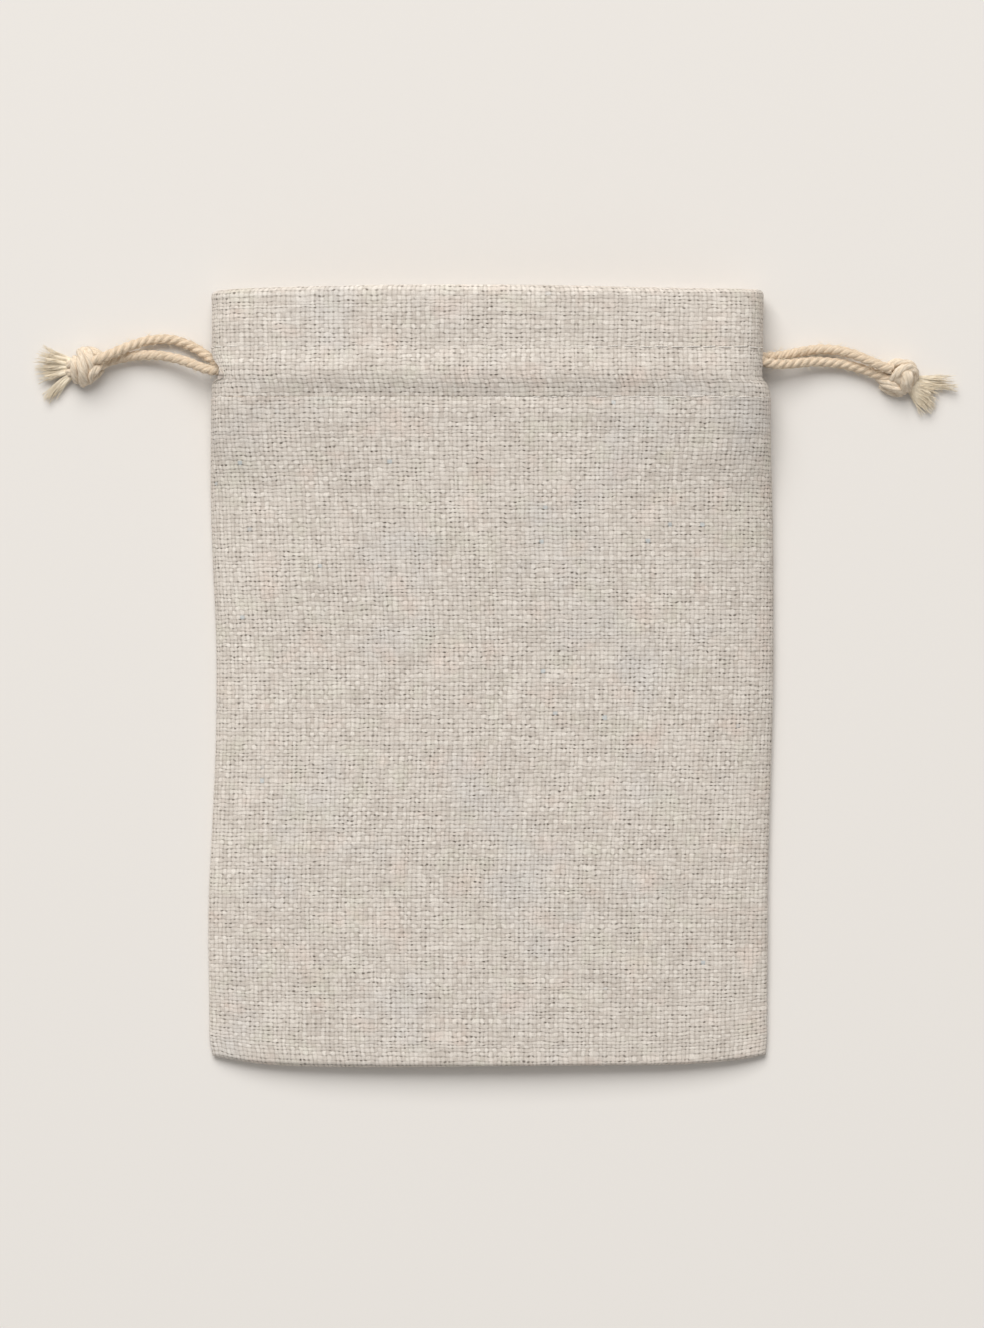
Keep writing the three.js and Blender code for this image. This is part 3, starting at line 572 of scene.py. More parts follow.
def smooth_curve(points):
    """A centripetal Catmull-Rom curve through the points, as a dense line."""
    p = np.array(points, float)
    p = np.vstack([2 * p[0] - p[1], p, 2 * p[-1] - p[-2]])
    knots = np.concatenate([[0], np.cumsum(np.sqrt(np.linalg.norm(np.diff(p, axis=0), axis=1)))])
    a, b, c, d = (p[k:len(p) - 3 + k, None, :] for k in range(4))
    ta, tb, tc, td = (knots[k:len(p) - 3 + k, None, None] for k in range(4))
    t = tb + (tc - tb) * np.linspace(0, 1, LINE_SAMPLES, endpoint=False)[None, :, None]
    ab = (a * (tb - t) + b * (t - ta)) / (tb - ta)
    bc = (b * (tc - t) + c * (t - tb)) / (tc - tb)
    cd = (c * (td - t) + d * (t - tc)) / (td - tc)
    abc = (ab * (tc - t) + bc * (t - ta)) / (tc - ta)
    bcd = (bc * (td - t) + cd * (t - tb)) / (td - tb)
    return np.vstack([((abc * (tc - t) + bcd * (t - tb)) / (tc - tb)).reshape(-1, 3), p[-2]])


def run_of(paths):
    """Distance along each path at each of its points."""
    return np.cumsum(np.linalg.norm(np.diff(paths, axis=-2, prepend=paths[..., :1, :]), axis=-1), axis=-1)


def cut_evenly(line, spans):
    """A line cut into even spans."""
    run = run_of(line)
    want = np.linspace(0, run[-1], spans + 1)
    return np.stack([np.interp(want, run, line[:, k]) for k in range(3)], -1)


def frames_along(paths, reference):
    """Side and up, square to each path at every point; up leans towards the reference directions."""
    tangent = unit(np.gradient(paths, axis=1))
    side = unit(np.cross(tangent, reference + 0 * paths))
    return side, np.cross(side, tangent)


def tubes(paths, radius, reference, sides):
    """Round tubes on paths (K, N, 3) of the given radius, closed by a fan at both ends. Returns points,
    faces, and for each point its distance along, its share of the way round from up, and its path's
    number."""
    count, steps = paths.shape[:2]
    side, up = frames_along(paths, reference)
    angle = 2 * np.pi * np.arange(sides) / sides
    spoke = np.cos(angle)[:, None] * up[:, :, None, :] + np.sin(angle)[:, None] * side[:, :, None, :]
    ring = paths[:, :, None, :] + np.broadcast_to(radius, (count, steps))[:, :, None, None] * spoke
    index = np.arange(count * steps * sides).reshape(count, steps, sides)
    turned = np.roll(index, -1, axis=2)
    quads = np.stack([index[:, :-1], turned[:, :-1], turned[:, 1:], index[:, 1:]], -1).reshape(-1, 4)
    first = index.size + 2 * np.arange(count)[:, None] + np.zeros((1, sides), int)
    starts = np.stack([first, turned[:, 0], index[:, 0]], -1).reshape(-1, 3)
    ends = np.stack([first + 1, index[:, -1], turned[:, -1]], -1).reshape(-1, 3)
    points = np.concatenate([ring.reshape(-1, 3), paths[:, [0, -1]].reshape(-1, 3)])
    run = run_of(paths)
    number = np.arange(count)[:, None, None]
    lay = np.stack(np.broadcast_arrays(run[:, :, None], angle / (2 * np.pi), number), -1).reshape(-1, 3)
    caps = np.stack(np.broadcast_arrays(run[:, [0, -1]], 0.0, number[:, :, 0]), -1).reshape(-1, 3)
    return points, [quads, starts, ends], np.concatenate([lay, caps])


def plies_of(paths, reference, offset, turn):
    """Left-handed helices about each path, an even share of a turn apart, and their outward directions."""
    side, up = frames_along(paths, reference)
    apart = (2 * np.pi / PLIES) * np.arange(PLIES)[None, :, None]
    angle = apart - 2 * np.pi * run_of(paths)[:, None, :] / turn
    out = np.cos(angle)[..., None] * side[:, None] - np.sin(angle)[..., None] * up[:, None]
    helix = paths[:, None] + offset * out
    return helix.reshape(-1, *paths.shape[1:]), out.reshape(-1, *paths.shape[1:])


def front_lane_z(x):
    """Height of the front casing's middle, which falls towards the sides as the cloth does."""
    return FRONT_LANE_Z - LANE_CROWN * min(1, abs(x) / LANE_REACH) ** CROWN_POWER


def drawstring_route(front_strand, back_strand, lane_y, far):
    """The points of a drawstring from knot to knot: a strand, the front casing, half a circle in the far slit
    (far: +1 right, -1 left), the back casing and the other strand."""
    lane = [(k / LANE_SPANS) * far * LANE_END_X for k in range(-LANE_SPANS, LANE_SPANS + 1)]
    radius = (front_lane_z(TURN_X) - BACK_LANE_Z) / 2
    angles = [math.pi / 2 - k * math.pi / TURN_SPANS for k in range(TURN_SPANS + 1)]
    route = list(front_strand)
    route += [(x, lane_y, front_lane_z(x)) for x in lane]
    route += [(far * (TURN_X + radius * math.cos(a)), lane_y, BACK_LANE_Z + radius * (1 + math.sin(a)))
              for a in angles]
    route += [(x, lane_y, BACK_LANE_Z) for x in reversed(lane)]
    route += list(reversed(back_strand))
    return np.array(route) - (0, LENGTH / 2, 0)


def drawstring(name, node, route, material):
    """A drawstring: three round plies laid about the route. Returns the piece, its path and length in metres,
    and the plies' lines and outward directions."""
    line = smooth_curve(route)
    length = run_of(line)[-1]
    path = cut_evenly(line, round(length / CORD_STEP))
    helix, out = plies_of(path[None], ALONG, PLY_OFFSET, PLY_TURN)
    piece = make_piece(name, node, "twine", *tubes(helix, PLY_RADIUS, out, PLY_SIDES), material)
    return piece, path * MM, length * MM, (helix, out)


def stray_hairs(name, node, helix, out, seed, material):
    """Stray hairs of a twine where it shows: each starts inside a ply, comes out of its outer side and runs
    on along it in either direction, while it lifts off in a shallow curve and sways a little."""
    draw = np.random.default_rng(seed)
    shown = np.flatnonzero(np.abs(helix[0, :, 0]) > HAIRS_FROM_X)
    shown = shown[(shown > 0) & (shown < helix.shape[1] - 1)]
    ply, place = draw.integers(0, len(helix), HAIRS), draw.choice(shown, HAIRS)

    def each(low, high):
        """A random value for each hair."""
        return draw.uniform(low, high, (HAIRS, 1, 1))

    t = np.linspace(0, 1, HAIR_STEPS)[None, :, None]
    tangent = unit(helix[ply, place + 1] - helix[ply, place - 1])[:, None] * np.sign(each(-1, 1))
    outward = out[ply, place][:, None]
    lean = each(-HAIR_LEAN, HAIR_LEAN)
    away = np.cos(lean) * outward + np.sin(lean) * np.cross(tangent, outward)
    lift = PLY_RADIUS * HAIR_ROOT + each(*HAIR_LIFT) * t ** each(*HAIR_LIFT_POWER)
    sway = each(-HAIR_SWAY, HAIR_SWAY) * t ** 2
    onward = tangent * each(*HAIR_RUN) * t
    paths = helix[ply, place][:, None] + away * lift + onward + np.cross(tangent, away) * sway
    paths[..., 2] = np.maximum(paths[..., 2], HAIR_RADIUS)
    hairs = tubes(paths, HAIR_RADIUS * (1 - HAIR_TAPER * t[..., 0]), UPWARD, HAIR_SIDES)
    return make_piece(name, node, "twine", *hairs, material)


def joined(*surfaces):
    """Several surfaces as one: their points and lays one after another, the faces' numbers moved on."""
    first = np.cumsum([0] + [len(points) for points, _, _ in surfaces[:-1]])
    faces = [group + start for start, (_, groups, _) in zip(first, surfaces) for group in groups]
    return np.concatenate([s[0] for s in surfaces]), faces, np.concatenate([s[2] for s in surfaces])


def knot(name, node, middle, core, bights, material):
    """A tied knot: each bight is three plies about a smooth line, and a rounded core fills what lies inside.
    The whole is let down until it touches the table."""
    place = np.array([middle[0], middle[1] - LENGTH / 2, 0.0])
    centre = place + (0, 0, KNOT_HEIGHT)
    size = np.array([scale for scale, _ in bights])[:, None, None]
    paths = place + np.stack([cut_evenly(smooth_curve(points), BIGHT_SPANS) for _, points in bights])
    helix, out = plies_of(paths, paths - centre, PLY_OFFSET * size[..., None], KNOT_TURN * size)
    rope = tubes(helix, PLY_RADIUS * np.repeat(size[..., 0], PLIES, axis=0), out, PLY_SIDES)
    height = np.cos(np.linspace(math.pi, 0, CORE_RINGS))
    girth = np.sqrt(1 - height ** 2)
    ball, faces, lay = tubes(UPWARD * height[None, :, None], girth[None], ACROSS, CORE_SIDES)
    points, faces, lay = joined(rope, (ball * core + centre, faces, lay))
    points[:, 2] -= points[:, 2].min()
    return make_piece(name, node, "twine", points, faces, lay, material)


def fray(name, node, middle, tufts, seed, material):
    """Frayed tails: a lock is a soft untwisted ply about a bent line from the knot to its tip, with fibres on
    its surface. A fibre keeps its place round the ply, which turns a little, and opens away from it towards
    the tip, where most fibres end past the ply and some before it."""
    draw = np.random.default_rng(seed)
    root_x, root_y = middle[0], middle[1] - LENGTH / 2
    t = np.linspace(0, 1, FIBRE_STEPS)[None, :]
    paths, radii = [], []
    for heading, reach, spread, locks, tip, girth, bend in tufts:
        lock = np.repeat(np.arange(locks), FIBRES)[:, None]
        ply = (np.arange(locks * FIBRES) % FIBRES == 0)[:, None]

        def own(low, high):
            """A random value for each lock, the same for all its fibres."""
            return draw.uniform(low, high, locks)[lock]

        def each(low, high):
            """A random value for each fibre."""
            return draw.uniform(low, high, (locks * FIBRES, 1))

        angle = heading + spread * (lock / max(1, locks - 1) - 0.5) + own(-LOCK_HEADING, LOCK_HEADING)
        angle = np.radians(angle)
        out = reach * own(*LOCK_REACH) * np.where(ply, LOCK_PLY_REACH, each(*FIBRE_REACH))
        out = out * (TAIL_START + (1 - TAIL_START) * t)
        aside = (bend + own(-LOCK_BEND, LOCK_BEND)) * t ** 2
        lying = LOCK_LIES * girth
        rise = (lying - TAIL_ROOT_Z) * t ** LOCK_FALLS + (tip * own(*LOCK_TIP) - lying) * t ** 2
        place = np.where(ply, 0, LOCK_PLY * girth * each(*FIBRE_PLACE))
        turn = each(0, 2 * np.pi) - own(*LOCK_TWIST) * t
        opened = place * (1 + FIBRE_OPENS * t ** 4)
        wave = FIBRE_WAVE * t * np.sin(2 * np.pi * (each(*FIBRE_WAVES) * t + each(0, 1)))
        aside = aside + opened * np.cos(turn) + wave
        rise = rise + LOCK_FLATTENED * opened * np.sin(turn) + FIBRE_WAVE_RISE * wave
        x = root_x + np.cos(angle) * out - np.sin(angle) * aside
        y = root_y + np.sin(angle) * out + np.cos(angle) * aside
        radius = np.where(ply, girth * (LOCK_PLY + LOCK_SWELL * t - LOCK_TAPER * t ** 3),
                          FIBRE_RADIUS * (1 - FIBRE_TAPER * t))
        paths.append(np.stack([x, y, np.maximum(TAIL_ROOT_Z + rise, radius)], -1))
        radii.append(radius)
    tails = tubes(np.concatenate(paths), np.concatenate(radii), UPWARD, FIBRE_SIDES)
    return make_piece(name, node, "twine", *tails, material)


def stitch_row(name, y, front, sink, seed, material):
    """A row of stitches along the section at y: short round threads. In front they rise a little from the
    cloth and sink into it at both ends, by sink times their radius. Behind they lie level with its
    underside."""
    left, right, seam, roll, flank, crown = sections_at(np.array([y]))
    x, z = section_curve(left, right, seam, roll, flank if front else -seam, crown * front, 0 * left)
    length = run_of(np.stack([x[0], z[0]], -1))[-1]
    count = int((length - STITCH) / STITCH_PITCH)
    draw = np.random.default_rng(seed)

    def each(low, high):
        """A random value for each stitch."""
        return draw.uniform(low, high, (count, 1))

    s = np.linspace(0, 1, STITCH_STEPS)[None, :]
    start = (length - count * STITCH_PITCH) / 2 + STITCH_PITCH * np.arange(count)[:, None]
    start = start + each(-STITCH_SHIFT, STITCH_SHIFT)
    share = (start + STITCH * each(*STITCH_LENGTHS) * s) / length
    line = even_columns(x, z, share.reshape(1, -1), 0 * left, 0 * left)
    x, z = (values.reshape(share.shape) for values in line)
    aside = each(-STITCH_ASIDE, STITCH_ASIDE) + each(-STITCH_SLANT, STITCH_SLANT) * (s - 0.5)
    sunk = STITCH_RADIUS * (STITCH_RISE * np.sin(np.pi * s) ** STITCH_ROUND - sink)
    height = np.maximum(z + sunk, STITCH_RADIUS) if front else STITCH_RADIUS + np.maximum(z, 0)
    paths = np.stack([x, along(x, y + aside), height], -1)
    stitches = tubes(paths, STITCH_RADIUS, UPWARD, STITCH_SIDES)
    return make_piece(name, "pouch_cloth", "linen", *stitches, material)


# Finishes

# Weave, on thread coordinates, one unit to a thread. A tone or gap has its rate of change along the thread
# and its place in the noise. A range has the two values between which something changes. Two more are what it
# changes from and to.
THREAD_WANDER = (0.6, 0.9, 0.0)
THREAD_WANDER_SCALE = 0.55
THREAD_WANDER_DETAIL = 1.0
THREADS_APART = 7.3
WARP_TONE = (0.13, 3.0)
WEFT_TONE = (0.11, 11.0)
WEFT_LIGHTER = 0.04
WARP_GAPS = (0.30, 23.0)
WEFT_GAPS = (0.42, 37.0)
GAP_RANGE = (0.30, 0.70, 0.15, 1.6)
WARP_LINE_RANGE = (0.40, 1.0)
WEFT_LINE_RANGE = (0.35, 1.0)
WARP_SHADE = 0.58
WEFT_SHADE = 0.55
WARP_DIP = -0.4
WEFT_DIP = -0.6
PIT_POWER = 1.4
PIT_CROWD_SCALE = 0.17
PIT_CROWD_RANGE = (0.35, 0.68, 0.45, 1.15)
PIT_WARP_RANGE = (0.05, 0.85)
PIT_WEFT_RANGE = (0.48, 0.95)

# Linen: the tones of its threads, each patch's place in the noise, scale, strength and tint, and what else is
# laid over them
LINEN_DARK = (0.620, 0.553, 0.488, 1)
LINEN_LIGHT = (0.900, 0.833, 0.755, 1)
LINEN_TONE_RANGE = (0.22, 0.80)
PATCHES = [
    ((0.0, 0.0, 0.0), 0.11, 0.30, (0.86, 0.67, 0.57, 1)),
    ((91.0, 47.0, 5.0), 0.13, 0.30, (0.72, 0.71, 0.57, 1)),
    ((31.0, 77.0, 9.0), 0.05, 0.35, (0.70, 0.69, 0.68, 1)),
]
PATCH_DETAIL = 3.0
PATCH_RANGE = (0.52, 0.74)
SLUB_COLOUR = (0.92, 0.87, 0.80, 1)
SLUB_RANGE = (0.3, 1.8, 0.0, 0.35)
RED_FLECK = (0.42, 0.24, 0.20, 1)
BLUE_FLECK = (0.50, 0.58, 0.62, 1)
FLECK_HUE_RANGE = (0.45, 0.55)
FLECK_RANGE = (0.9990, 0.9996, 0.0, 0.55)
GRAIN_SCALE = 3.0
GRAIN_DETAIL = 3.0
GRAIN_RANGE = (0.25, 0.75, 0.88, 1.12)
GRAIN_HEIGHT = 0.3
SHADE_COLOUR = (0.36, 0.31, 0.26, 1)
SHADE_STRENGTH = 0.50
# Painted shade: the dark colour laid into the pits where four threads meet
PIT_SHADE_COLOUR = (0.12, 0.095, 0.075, 1)
PIT_SHADE_STRENGTH = 0.95
LINEN_BUMP = (0.7, 0.00007)

# Twine: for each one light, dark and how much painted shade darkens the grooves between the plies, and the
# streaks of its fibres
TWINE = ((0.84, 0.695, 0.53, 1), (0.69, 0.53, 0.37, 1), 0.15)
KNOTTED_TWINE = ((0.92, 0.80, 0.65, 1), (0.72, 0.58, 0.42, 1), 0.25)
# Frayed fibres are paler than the twine, and are lightened further, near white, as painted light for the
# light that passes through thin fibres
FRAYED_TWINE_WITH_PAINTED_LIGHT = ((1.0, 0.905, 0.74, 1), (0.95, 0.82, 0.62, 1), 0.0)
SEWING_THREAD = ((0.88, 0.83, 0.77, 1), (0.78, 0.72, 0.65, 1), 0.1)
FIBRE_LONG = 0.9
FIBRE_ROUND = 2.6
PLIES_APART = 17.3
STREAK_SCALE = 2.2
STREAK_DETAIL = 3.0
STREAK_RANGE = (0.32, 0.66)
# Painted shade in the grooves: where it starts and ends on the way round a ply, and the tone it darkens to
GROOVE_SHADE_RANGE = (0.35, -0.6)
GROOVE_SHADE_TONE = 0.5
TWINE_BUMP = (0.6, 0.00015)

# Table
TABLE_DARK = (0.840, 0.806, 0.766, 1)
TABLE_LIGHT = (0.853, 0.820, 0.781, 1)
TABLE_SCALE = 3.0


def put(tree, kind, values=(), output=0, **settings):
    """Adds one node: settings are its properties, values its inputs in order, constants or outputs."""
    node = tree.nodes.new("ShaderNode" + kind)
    for key, value in settings.items():
        setattr(node, key, value)
    for socket, value in zip(node.inputs, values):
        if isinstance(value, bpy.types.NodeSocket):
            tree.links.new(value, socket)
        elif value is not None:
            socket.default_value = value
    return node.outputs[output]


def maths(tree, operation, *values):
    """One operation on numbers."""
    return put(tree, "Math", values, operation=operation)


def vectors(tree, operation, *values):
    """One operation on vectors."""
    return put(tree, "VectorMath", values, operation=operation)


def blend(tree, share, first, second, blend_type="MIX"):
    """The first colour with a share of the second laid over it."""
    values = (share, None, None, None, None, None, first, second)
    return put(tree, "Mix", values, output=2, data_type="RGBA", blend_type=blend_type)


def step(tree, value, low, high, start=0.0, end=1.0):
    """A smooth change from start to end while value goes from low to high."""
    values = (value, low, high, start, end)
    return put(tree, "MapRange", values, interpolation_type="SMOOTHSTEP")


def noise(tree, vector, scale, detail=2.0, output=0):
    """Soft noise about 0.5 at a vector: output 0 is its value, output 1 its colour."""
    return put(tree, "TexNoise", (vector, None, scale, detail), output=output)


def new_group(name, inputs, outputs):
    """An empty group with named inputs and outputs: its tree, what it is given and what it puts out."""
    tree = bpy.data.node_groups.new(name, "ShaderNodeTree")
    for key, kind in inputs:
        tree.interface.new_socket(key, in_out="INPUT", socket_type="NodeSocket" + kind)
    for key, kind in outputs:
        tree.interface.new_socket(key, in_out="OUTPUT", socket_type="NodeSocket" + kind)
    return tree, tree.nodes.new("NodeGroupInput").outputs, tree.nodes.new("NodeGroupOutput").inputs


def plain_weave_group():
    """Plain weave on thread coordinates, one unit to a thread: the tone of the thread on top, the height of
    the surface, the shade between neighbouring threads and the pits where four threads meet, which the linen
    darkens with painted shade."""
    tree, given, result = new_group(
        "plain weave", [("Thread", "Vector")],
        [("Tone", "Float"), ("Height", "Float"), ("Shade", "Float"), ("Pit", "Float")])
    wander = noise(tree, given["Thread"], THREAD_WANDER_SCALE, THREAD_WANDER_DETAIL, output=1)
    wander = vectors(tree, "SUBTRACT", wander, (0.5, 0.5, 0.5))
    wander = vectors(tree, "MULTIPLY", wander, THREAD_WANDER)
    moved = vectors(tree, "ADD", given["Thread"], wander)
    across, lengthwise, _ = put(tree, "SeparateXYZ", (moved,)).node.outputs
    warp, weft = maths(tree, "FLOOR", across), maths(tree, "FLOOR", lengthwise)
    over = maths(tree, "FLOORED_MODULO", maths(tree, "ADD", warp, weft), 2.0)

    def own_noise(number, length, rate, place):
        """A value that changes along each thread or gap, and from one to the next."""
        number = maths(tree, "MULTIPLY", number, THREADS_APART)
        length = maths(tree, "MULTIPLY", length, rate)
        return noise(tree, put(tree, "CombineXYZ", (number, length, place)), 1.0)

    def gaps(position, length, rate, place):
        """The closeness to the gap between two threads, from 0 mid-thread to 1, and how open that gap is."""
        gap = maths(tree, "MULTIPLY_ADD", maths(tree, "FRACT", position), 2.0, -1.0)
        number = maths(tree, "FLOOR", maths(tree, "ADD", position, 0.5))
        return maths(tree, "ABSOLUTE", gap), step(tree, own_noise(number, length, rate, place), *GAP_RANGE)

    warp_gap, warp_open = gaps(across, lengthwise, *WARP_GAPS)
    weft_gap, weft_open = gaps(lengthwise, across, *WEFT_GAPS)
    tones = own_noise(weft, across, *WEFT_TONE), own_noise(warp, lengthwise, *WARP_TONE)
    tone = put(tree, "Mix", (over, None, *tones), data_type="FLOAT")
    tone = maths(tree, "MULTIPLY_ADD", maths(tree, "SUBTRACT", 0.5, over), WEFT_LIGHTER, tone)
    warp_line = step(tree, warp_gap, *WARP_LINE_RANGE)
    weft_line = step(tree, weft_gap, *WEFT_LINE_RANGE)
    shade = maths(tree, "MULTIPLY", maths(tree, "MULTIPLY", weft_line, weft_open), WEFT_SHADE)
    shade = maths(tree, "MULTIPLY_ADD", maths(tree, "MULTIPLY", warp_line, warp_open), WARP_SHADE, shade)
    corner = vectors(tree, "FLOOR", vectors(tree, "ADD", moved, (0.5, 0.5, 0.0)))
    corner = vectors(tree, "MULTIPLY", corner, (1.0, 1.0, 0.0))
    luck = maths(tree, "POWER", put(tree, "TexWhiteNoise", (corner,), noise_dimensions="3D"), PIT_POWER)
    crowd = step(tree, noise(tree, corner, PIT_CROWD_SCALE), *PIT_CROWD_RANGE)
    warp_pit = step(tree, warp_gap, *PIT_WARP_RANGE)
    weft_pit = step(tree, weft_gap, *PIT_WEFT_RANGE)
    pit = maths(tree, "MULTIPLY", warp_pit, weft_pit)
    pit = maths(tree, "MULTIPLY", pit, maths(tree, "MULTIPLY", luck, crowd))
    height = maths(tree, "MULTIPLY_ADD", weft_line, WEFT_DIP, 1.0)
    height = maths(tree, "MULTIPLY_ADD", warp_line, WARP_DIP, height)
    height = maths(tree, "SUBTRACT", height, pit)
    for key, value in (("Tone", tone), ("Height", height), ("Shade", shade), ("Pit", pit)):
        tree.links.new(value, result[key])
    return tree


def twine_fibres_group():
    """Fibres of twine on its lay, which is the distance along, the share of the way round and the number of a
    ply: streaks that run along each ply, and how far it faces out, from -1 between the plies to 1."""
    tree, given, result = new_group(
        "twine fibres", [("Lay", "Vector")], [("Streak", "Float"), ("Outward", "Float")])
    distance, share, number = put(tree, "SeparateXYZ", (given["Lay"],)).node.outputs
    turn = maths(tree, "MULTIPLY", share, 2 * math.pi)
    outward = maths(tree, "COSINE", turn)
    lengthwise = maths(tree, "MULTIPLY", distance, FIBRE_LONG)
    roundwise = maths(tree, "MULTIPLY", outward, FIBRE_ROUND)
    apart = maths(tree, "MULTIPLY_ADD", number, PLIES_APART, maths(tree, "SINE", turn))
    place = put(tree, "CombineXYZ", (lengthwise, roundwise, apart))
    tree.links.new(noise(tree, place, STREAK_SCALE, STREAK_DETAIL), result["Streak"])
    tree.links.new(outward, result["Outward"])
    return tree


def new_material(name, **constants):
    """A Principled material whose constants are set on the shader's own sockets."""
    material = bpy.data.materials.new(name)
    material.use_nodes = True
    shader = material.node_tree.nodes["Principled BSDF"]
    for key, value in constants.items():
        shader.inputs[key.replace("_", " ").title()].default_value = value
    return material, material.node_tree, shader


def attribute(tree, name):
    """A vector that the piece's points carry."""
    return put(tree, "Attribute", output=1, attribute_name=name)


def use_group(tree, group, **inputs):
    """Places a group in a material, fed with the named inputs, and gives its outputs."""
    node = tree.nodes.new("ShaderNodeGroup")
    node.node_tree = group
    for key, value in inputs.items():
        tree.links.new(value, node.inputs[key])
    return node.outputs


def linen_finish(weave):
    """Oatmeal linen: threads of uneven tone under faint warm, green and grey patches, then slubs, flecks and
    fibre grain, and painted shade between the threads and in the pits."""
    material, tree, shader = new_material(
        "oatmeal linen", roughness=0.92, sheen_weight=0.10, sheen_roughness=0.5)
    thread = attribute(tree, "thread")
    woven = use_group(tree, weave, Thread=thread)
    colour = blend(tree, step(tree, woven["Tone"], *LINEN_TONE_RANGE), LINEN_DARK, LINEN_LIGHT)
    for place, scale, strength, tint in PATCHES:
        patch = noise(tree, vectors(tree, "ADD", thread, place), scale, PATCH_DETAIL)
        colour = blend(tree, step(tree, patch, *PATCH_RANGE, 0.0, strength), colour, tint)
    slub = put(tree, "SeparateXYZ", (thread,), output=2)
    colour = blend(tree, step(tree, slub, *SLUB_RANGE), colour, SLUB_COLOUR)
    crossing = vectors(tree, "FLOOR", thread)
    luck = put(tree, "TexWhiteNoise", (crossing,), noise_dimensions="3D").node.outputs
    hue = put(tree, "SeparateColor", (luck["Color"],))
    fleck = blend(tree, step(tree, hue, *FLECK_HUE_RANGE), RED_FLECK, BLUE_FLECK)
    colour = blend(tree, step(tree, luck["Value"], *FLECK_RANGE), colour, fleck)
    grain = noise(tree, thread, GRAIN_SCALE, GRAIN_DETAIL)
    colour = blend(tree, 1.0, colour, put(tree, "MapRange", (grain, *GRAIN_RANGE)), "MULTIPLY")
    colour = blend(tree, maths(tree, "MULTIPLY", woven["Shade"], SHADE_STRENGTH), colour, SHADE_COLOUR)
    # Painted shade in the pits where four threads meet
    colour = blend(tree, maths(tree, "MULTIPLY", woven["Pit"], PIT_SHADE_STRENGTH), colour, PIT_SHADE_COLOUR)
    tree.links.new(colour, shader.inputs["Base Color"])
    height = maths(tree, "MULTIPLY_ADD", grain, GRAIN_HEIGHT, woven["Height"])
    tree.links.new(put(tree, "Bump", (*LINEN_BUMP, None, height)), shader.inputs["Normal"])
    return material


def twine_finish(name, fibres, light, dark, depth):
    """Undyed twine: streaks of light and dark fibres run along each ply, and painted shade darkens its inner
    side, in the grooves between the plies, by the given depth."""
    material, tree, shader = new_material(name, roughness=0.85, sheen_weight=0.15, sheen_roughness=0.5)
    laid = use_group(tree, fibres, Lay=attribute(tree, "lay"))
    colour = blend(tree, step(tree, laid["Streak"], *STREAK_RANGE), dark, light)
    # Painted shade in the grooves between the plies
    groove_shade = (*(GROOVE_SHADE_TONE * value for value in dark[:3]), 1)
    colour = blend(tree, step(tree, laid["Outward"], *GROOVE_SHADE_RANGE, 0.0, depth), colour, groove_shade)
    tree.links.new(colour, shader.inputs["Base Color"])
    tree.links.new(put(tree, "Bump", (*TWINE_BUMP, None, laid["Streak"])), shader.inputs["Normal"])
    return material


def table_finish():
    """A plain pale table top with a trace of unevenness."""
    material, tree, shader = new_material("pale table", roughness=0.8)
    where = put(tree, "TexCoord", output=3)
    colour = blend(tree, noise(tree, where, TABLE_SCALE), TABLE_DARK, TABLE_LIGHT)
    tree.links.new(colour, shader.inputs["Base Color"])
    return material


# Camera, light and table. A pixel of the photograph is in millimetres, and all other sizes here are metres.
PIXEL = 0.18
PHOTO_HIGH = 1328
CAMERA_HEIGHT = 1.2
CAMERA_PLACE = (0.0008, 0.0018)
WINDOW_DIRECTION = Vector((-0.20, 0.80, 0.88)).normalized()
WINDOW_DISTANCE = 4.0
WINDOW_SIZE = 2.9
WINDOW_POWER = 154.0
SURROUND_STRENGTH = 0.352
DAYLIGHT = (1.0, 0.99, 0.975)
TABLE_REACH = 3.0


def add_camera():
    """A camera straight above, with a lens that takes in the photograph's height of table."""
    data = bpy.data.cameras.new("camera")
    data.lens = data.sensor_width * CAMERA_HEIGHT / (PHOTO_HIGH * PIXEL * MM)
    camera = bpy.data.objects.new("camera", data)
    camera.location = (*CAMERA_PLACE, CAMERA_HEIGHT)
    bpy.context.scene.collection.objects.link(camera)
    bpy.context.scene.camera = camera


def add_light():
    """A soft window-like light from beyond the mouth and a little left, and an even warm surround."""
    data = bpy.data.lights.new("window", "AREA")
    data.size = WINDOW_SIZE
    data.energy = WINDOW_POWER
    data.color = DAYLIGHT
    lamp = bpy.data.objects.new("window", data)
    lamp.location = WINDOW_DIRECTION * WINDOW_DISTANCE
    lamp.rotation_euler = WINDOW_DIRECTION.to_track_quat("Z", "Y").to_euler()
    bpy.context.scene.collection.objects.link(lamp)
    world = bpy.data.worlds.new("surround")
    world.use_nodes = True
    background = world.node_tree.nodes["Background"]
    background.inputs["Color"].default_value = (*DAYLIGHT, 1)
    background.inputs["Strength"].default_value = SURROUND_STRENGTH
    bpy.context.scene.world = world
    bpy.context.scene.view_settings.view_transform = "Standard"


def add_table():
    """A flat square, far larger than the view."""
    mesh = bpy.data.meshes.new("table")
    corners = [(TABLE_REACH * x, TABLE_REACH * y, 0) for x, y in ((-1, -1), (1, -1), (1, 1), (-1, 1))]
    mesh.from_pydata(corners, [], [(0, 1, 2, 3)])
    mesh.materials.append(table_finish())
    table = bpy.data.objects.new("table", mesh)
    bpy.context.scene.collection.objects.link(table)


add_camera()
add_light()
add_table()

# Pieces

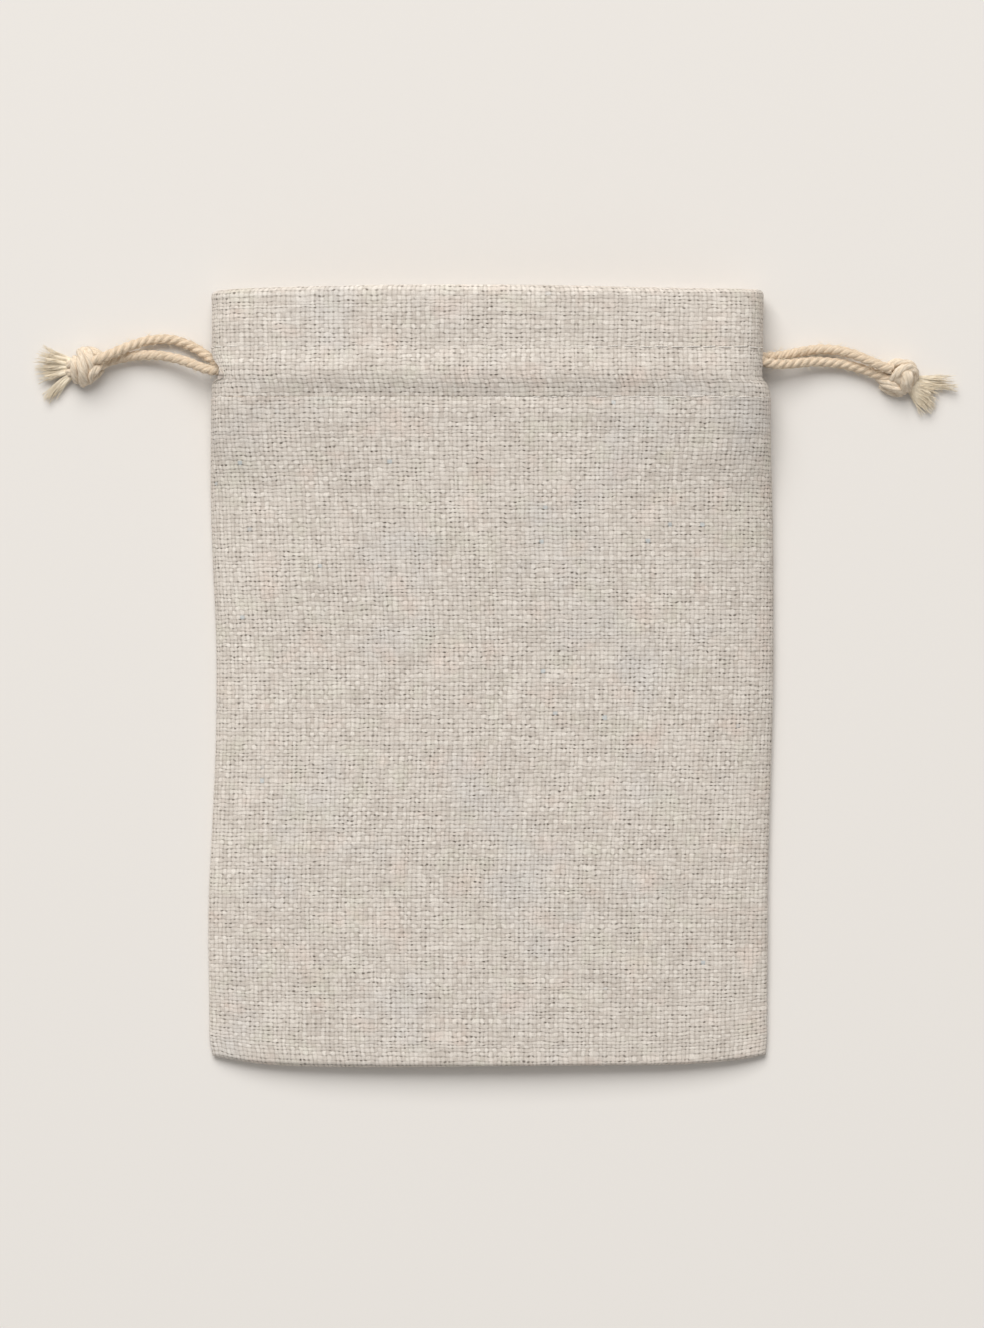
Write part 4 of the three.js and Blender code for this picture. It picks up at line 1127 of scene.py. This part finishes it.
linen = linen_finish(plain_weave_group())
fibres = twine_fibres_group()
twine = twine_finish("undyed twine", fibres, *TWINE)
thread = twine_finish("off-white thread", fibres, *SEWING_THREAD)
tied = twine_finish("knotted twine", fibres, *KNOTTED_TWINE)
# Frayed tails and stray hairs: paler fibres, lightened further with painted light
frayed = twine_finish("pale frayed twine with painted light", fibres, *FRAYED_TWINE_WITH_PAINTED_LIGHT)

left_route = drawstring_route(
    LEFT_FRONT_TIE + LEFT_FRONT_STRAND, LEFT_BACK_TIE + LEFT_BACK_STRAND, LANE_LEFT_Y, far=1)
right_route = drawstring_route(
    RIGHT_FRONT_TIE + RIGHT_FRONT_STRAND, RIGHT_BACK_TIE + RIGHT_BACK_STRAND, LANE_RIGHT_Y, far=-1)
left_cord, left_path, left_length, left_plies = drawstring(
    "twine_left", "drawstring_left", left_route, twine)
right_cord, right_path, right_length, right_plies = drawstring(
    "twine_right", "drawstring_right", right_route, twine)

front_body = body_panel("front_body", front=True, seed=1, material=linen)
back_body = body_panel("back_body", front=False, seed=2, material=linen)
front_heading = heading_panel("front_heading", front=True, seed=3, material=linen)
back_heading = heading_panel("back_heading", front=False, seed=4, material=linen)

front_stitches = [
    stitch_row("front_upper_stitches", UPPER_STITCH_Y, True, UPPER_SINK, seed=5, material=thread),
    stitch_row("front_lower_stitches", LOWER_STITCH_Y, True, LOWER_SINK, seed=6, material=thread)]
back_stitches = [
    stitch_row("back_upper_stitches", UPPER_STITCH_Y, False, UPPER_SINK, seed=7, material=thread),
    stitch_row("back_lower_stitches", LOWER_STITCH_Y, False, LOWER_SINK, seed=8, material=thread)]

left_knot = knot("knot_on_the_left", "knot_left", LEFT_MIDDLE, LEFT_CORE, LEFT_BIGHTS, tied)
right_knot = knot("knot_on_the_right", "knot_right", RIGHT_MIDDLE, RIGHT_CORE, RIGHT_BIGHTS, tied)
left_fray = fray("frayed_ends_left", "knot_left", LEFT_MIDDLE, LEFT_TUFTS, seed=9, material=frayed)
right_fray = fray("frayed_ends_right", "knot_right", RIGHT_MIDDLE, RIGHT_TUFTS, seed=10, material=frayed)
left_hairs = stray_hairs("stray_hairs_left", "drawstring_left", *left_plies, seed=11, material=frayed)
right_hairs = stray_hairs("stray_hairs_right", "drawstring_right", *right_plies, seed=12, material=frayed)
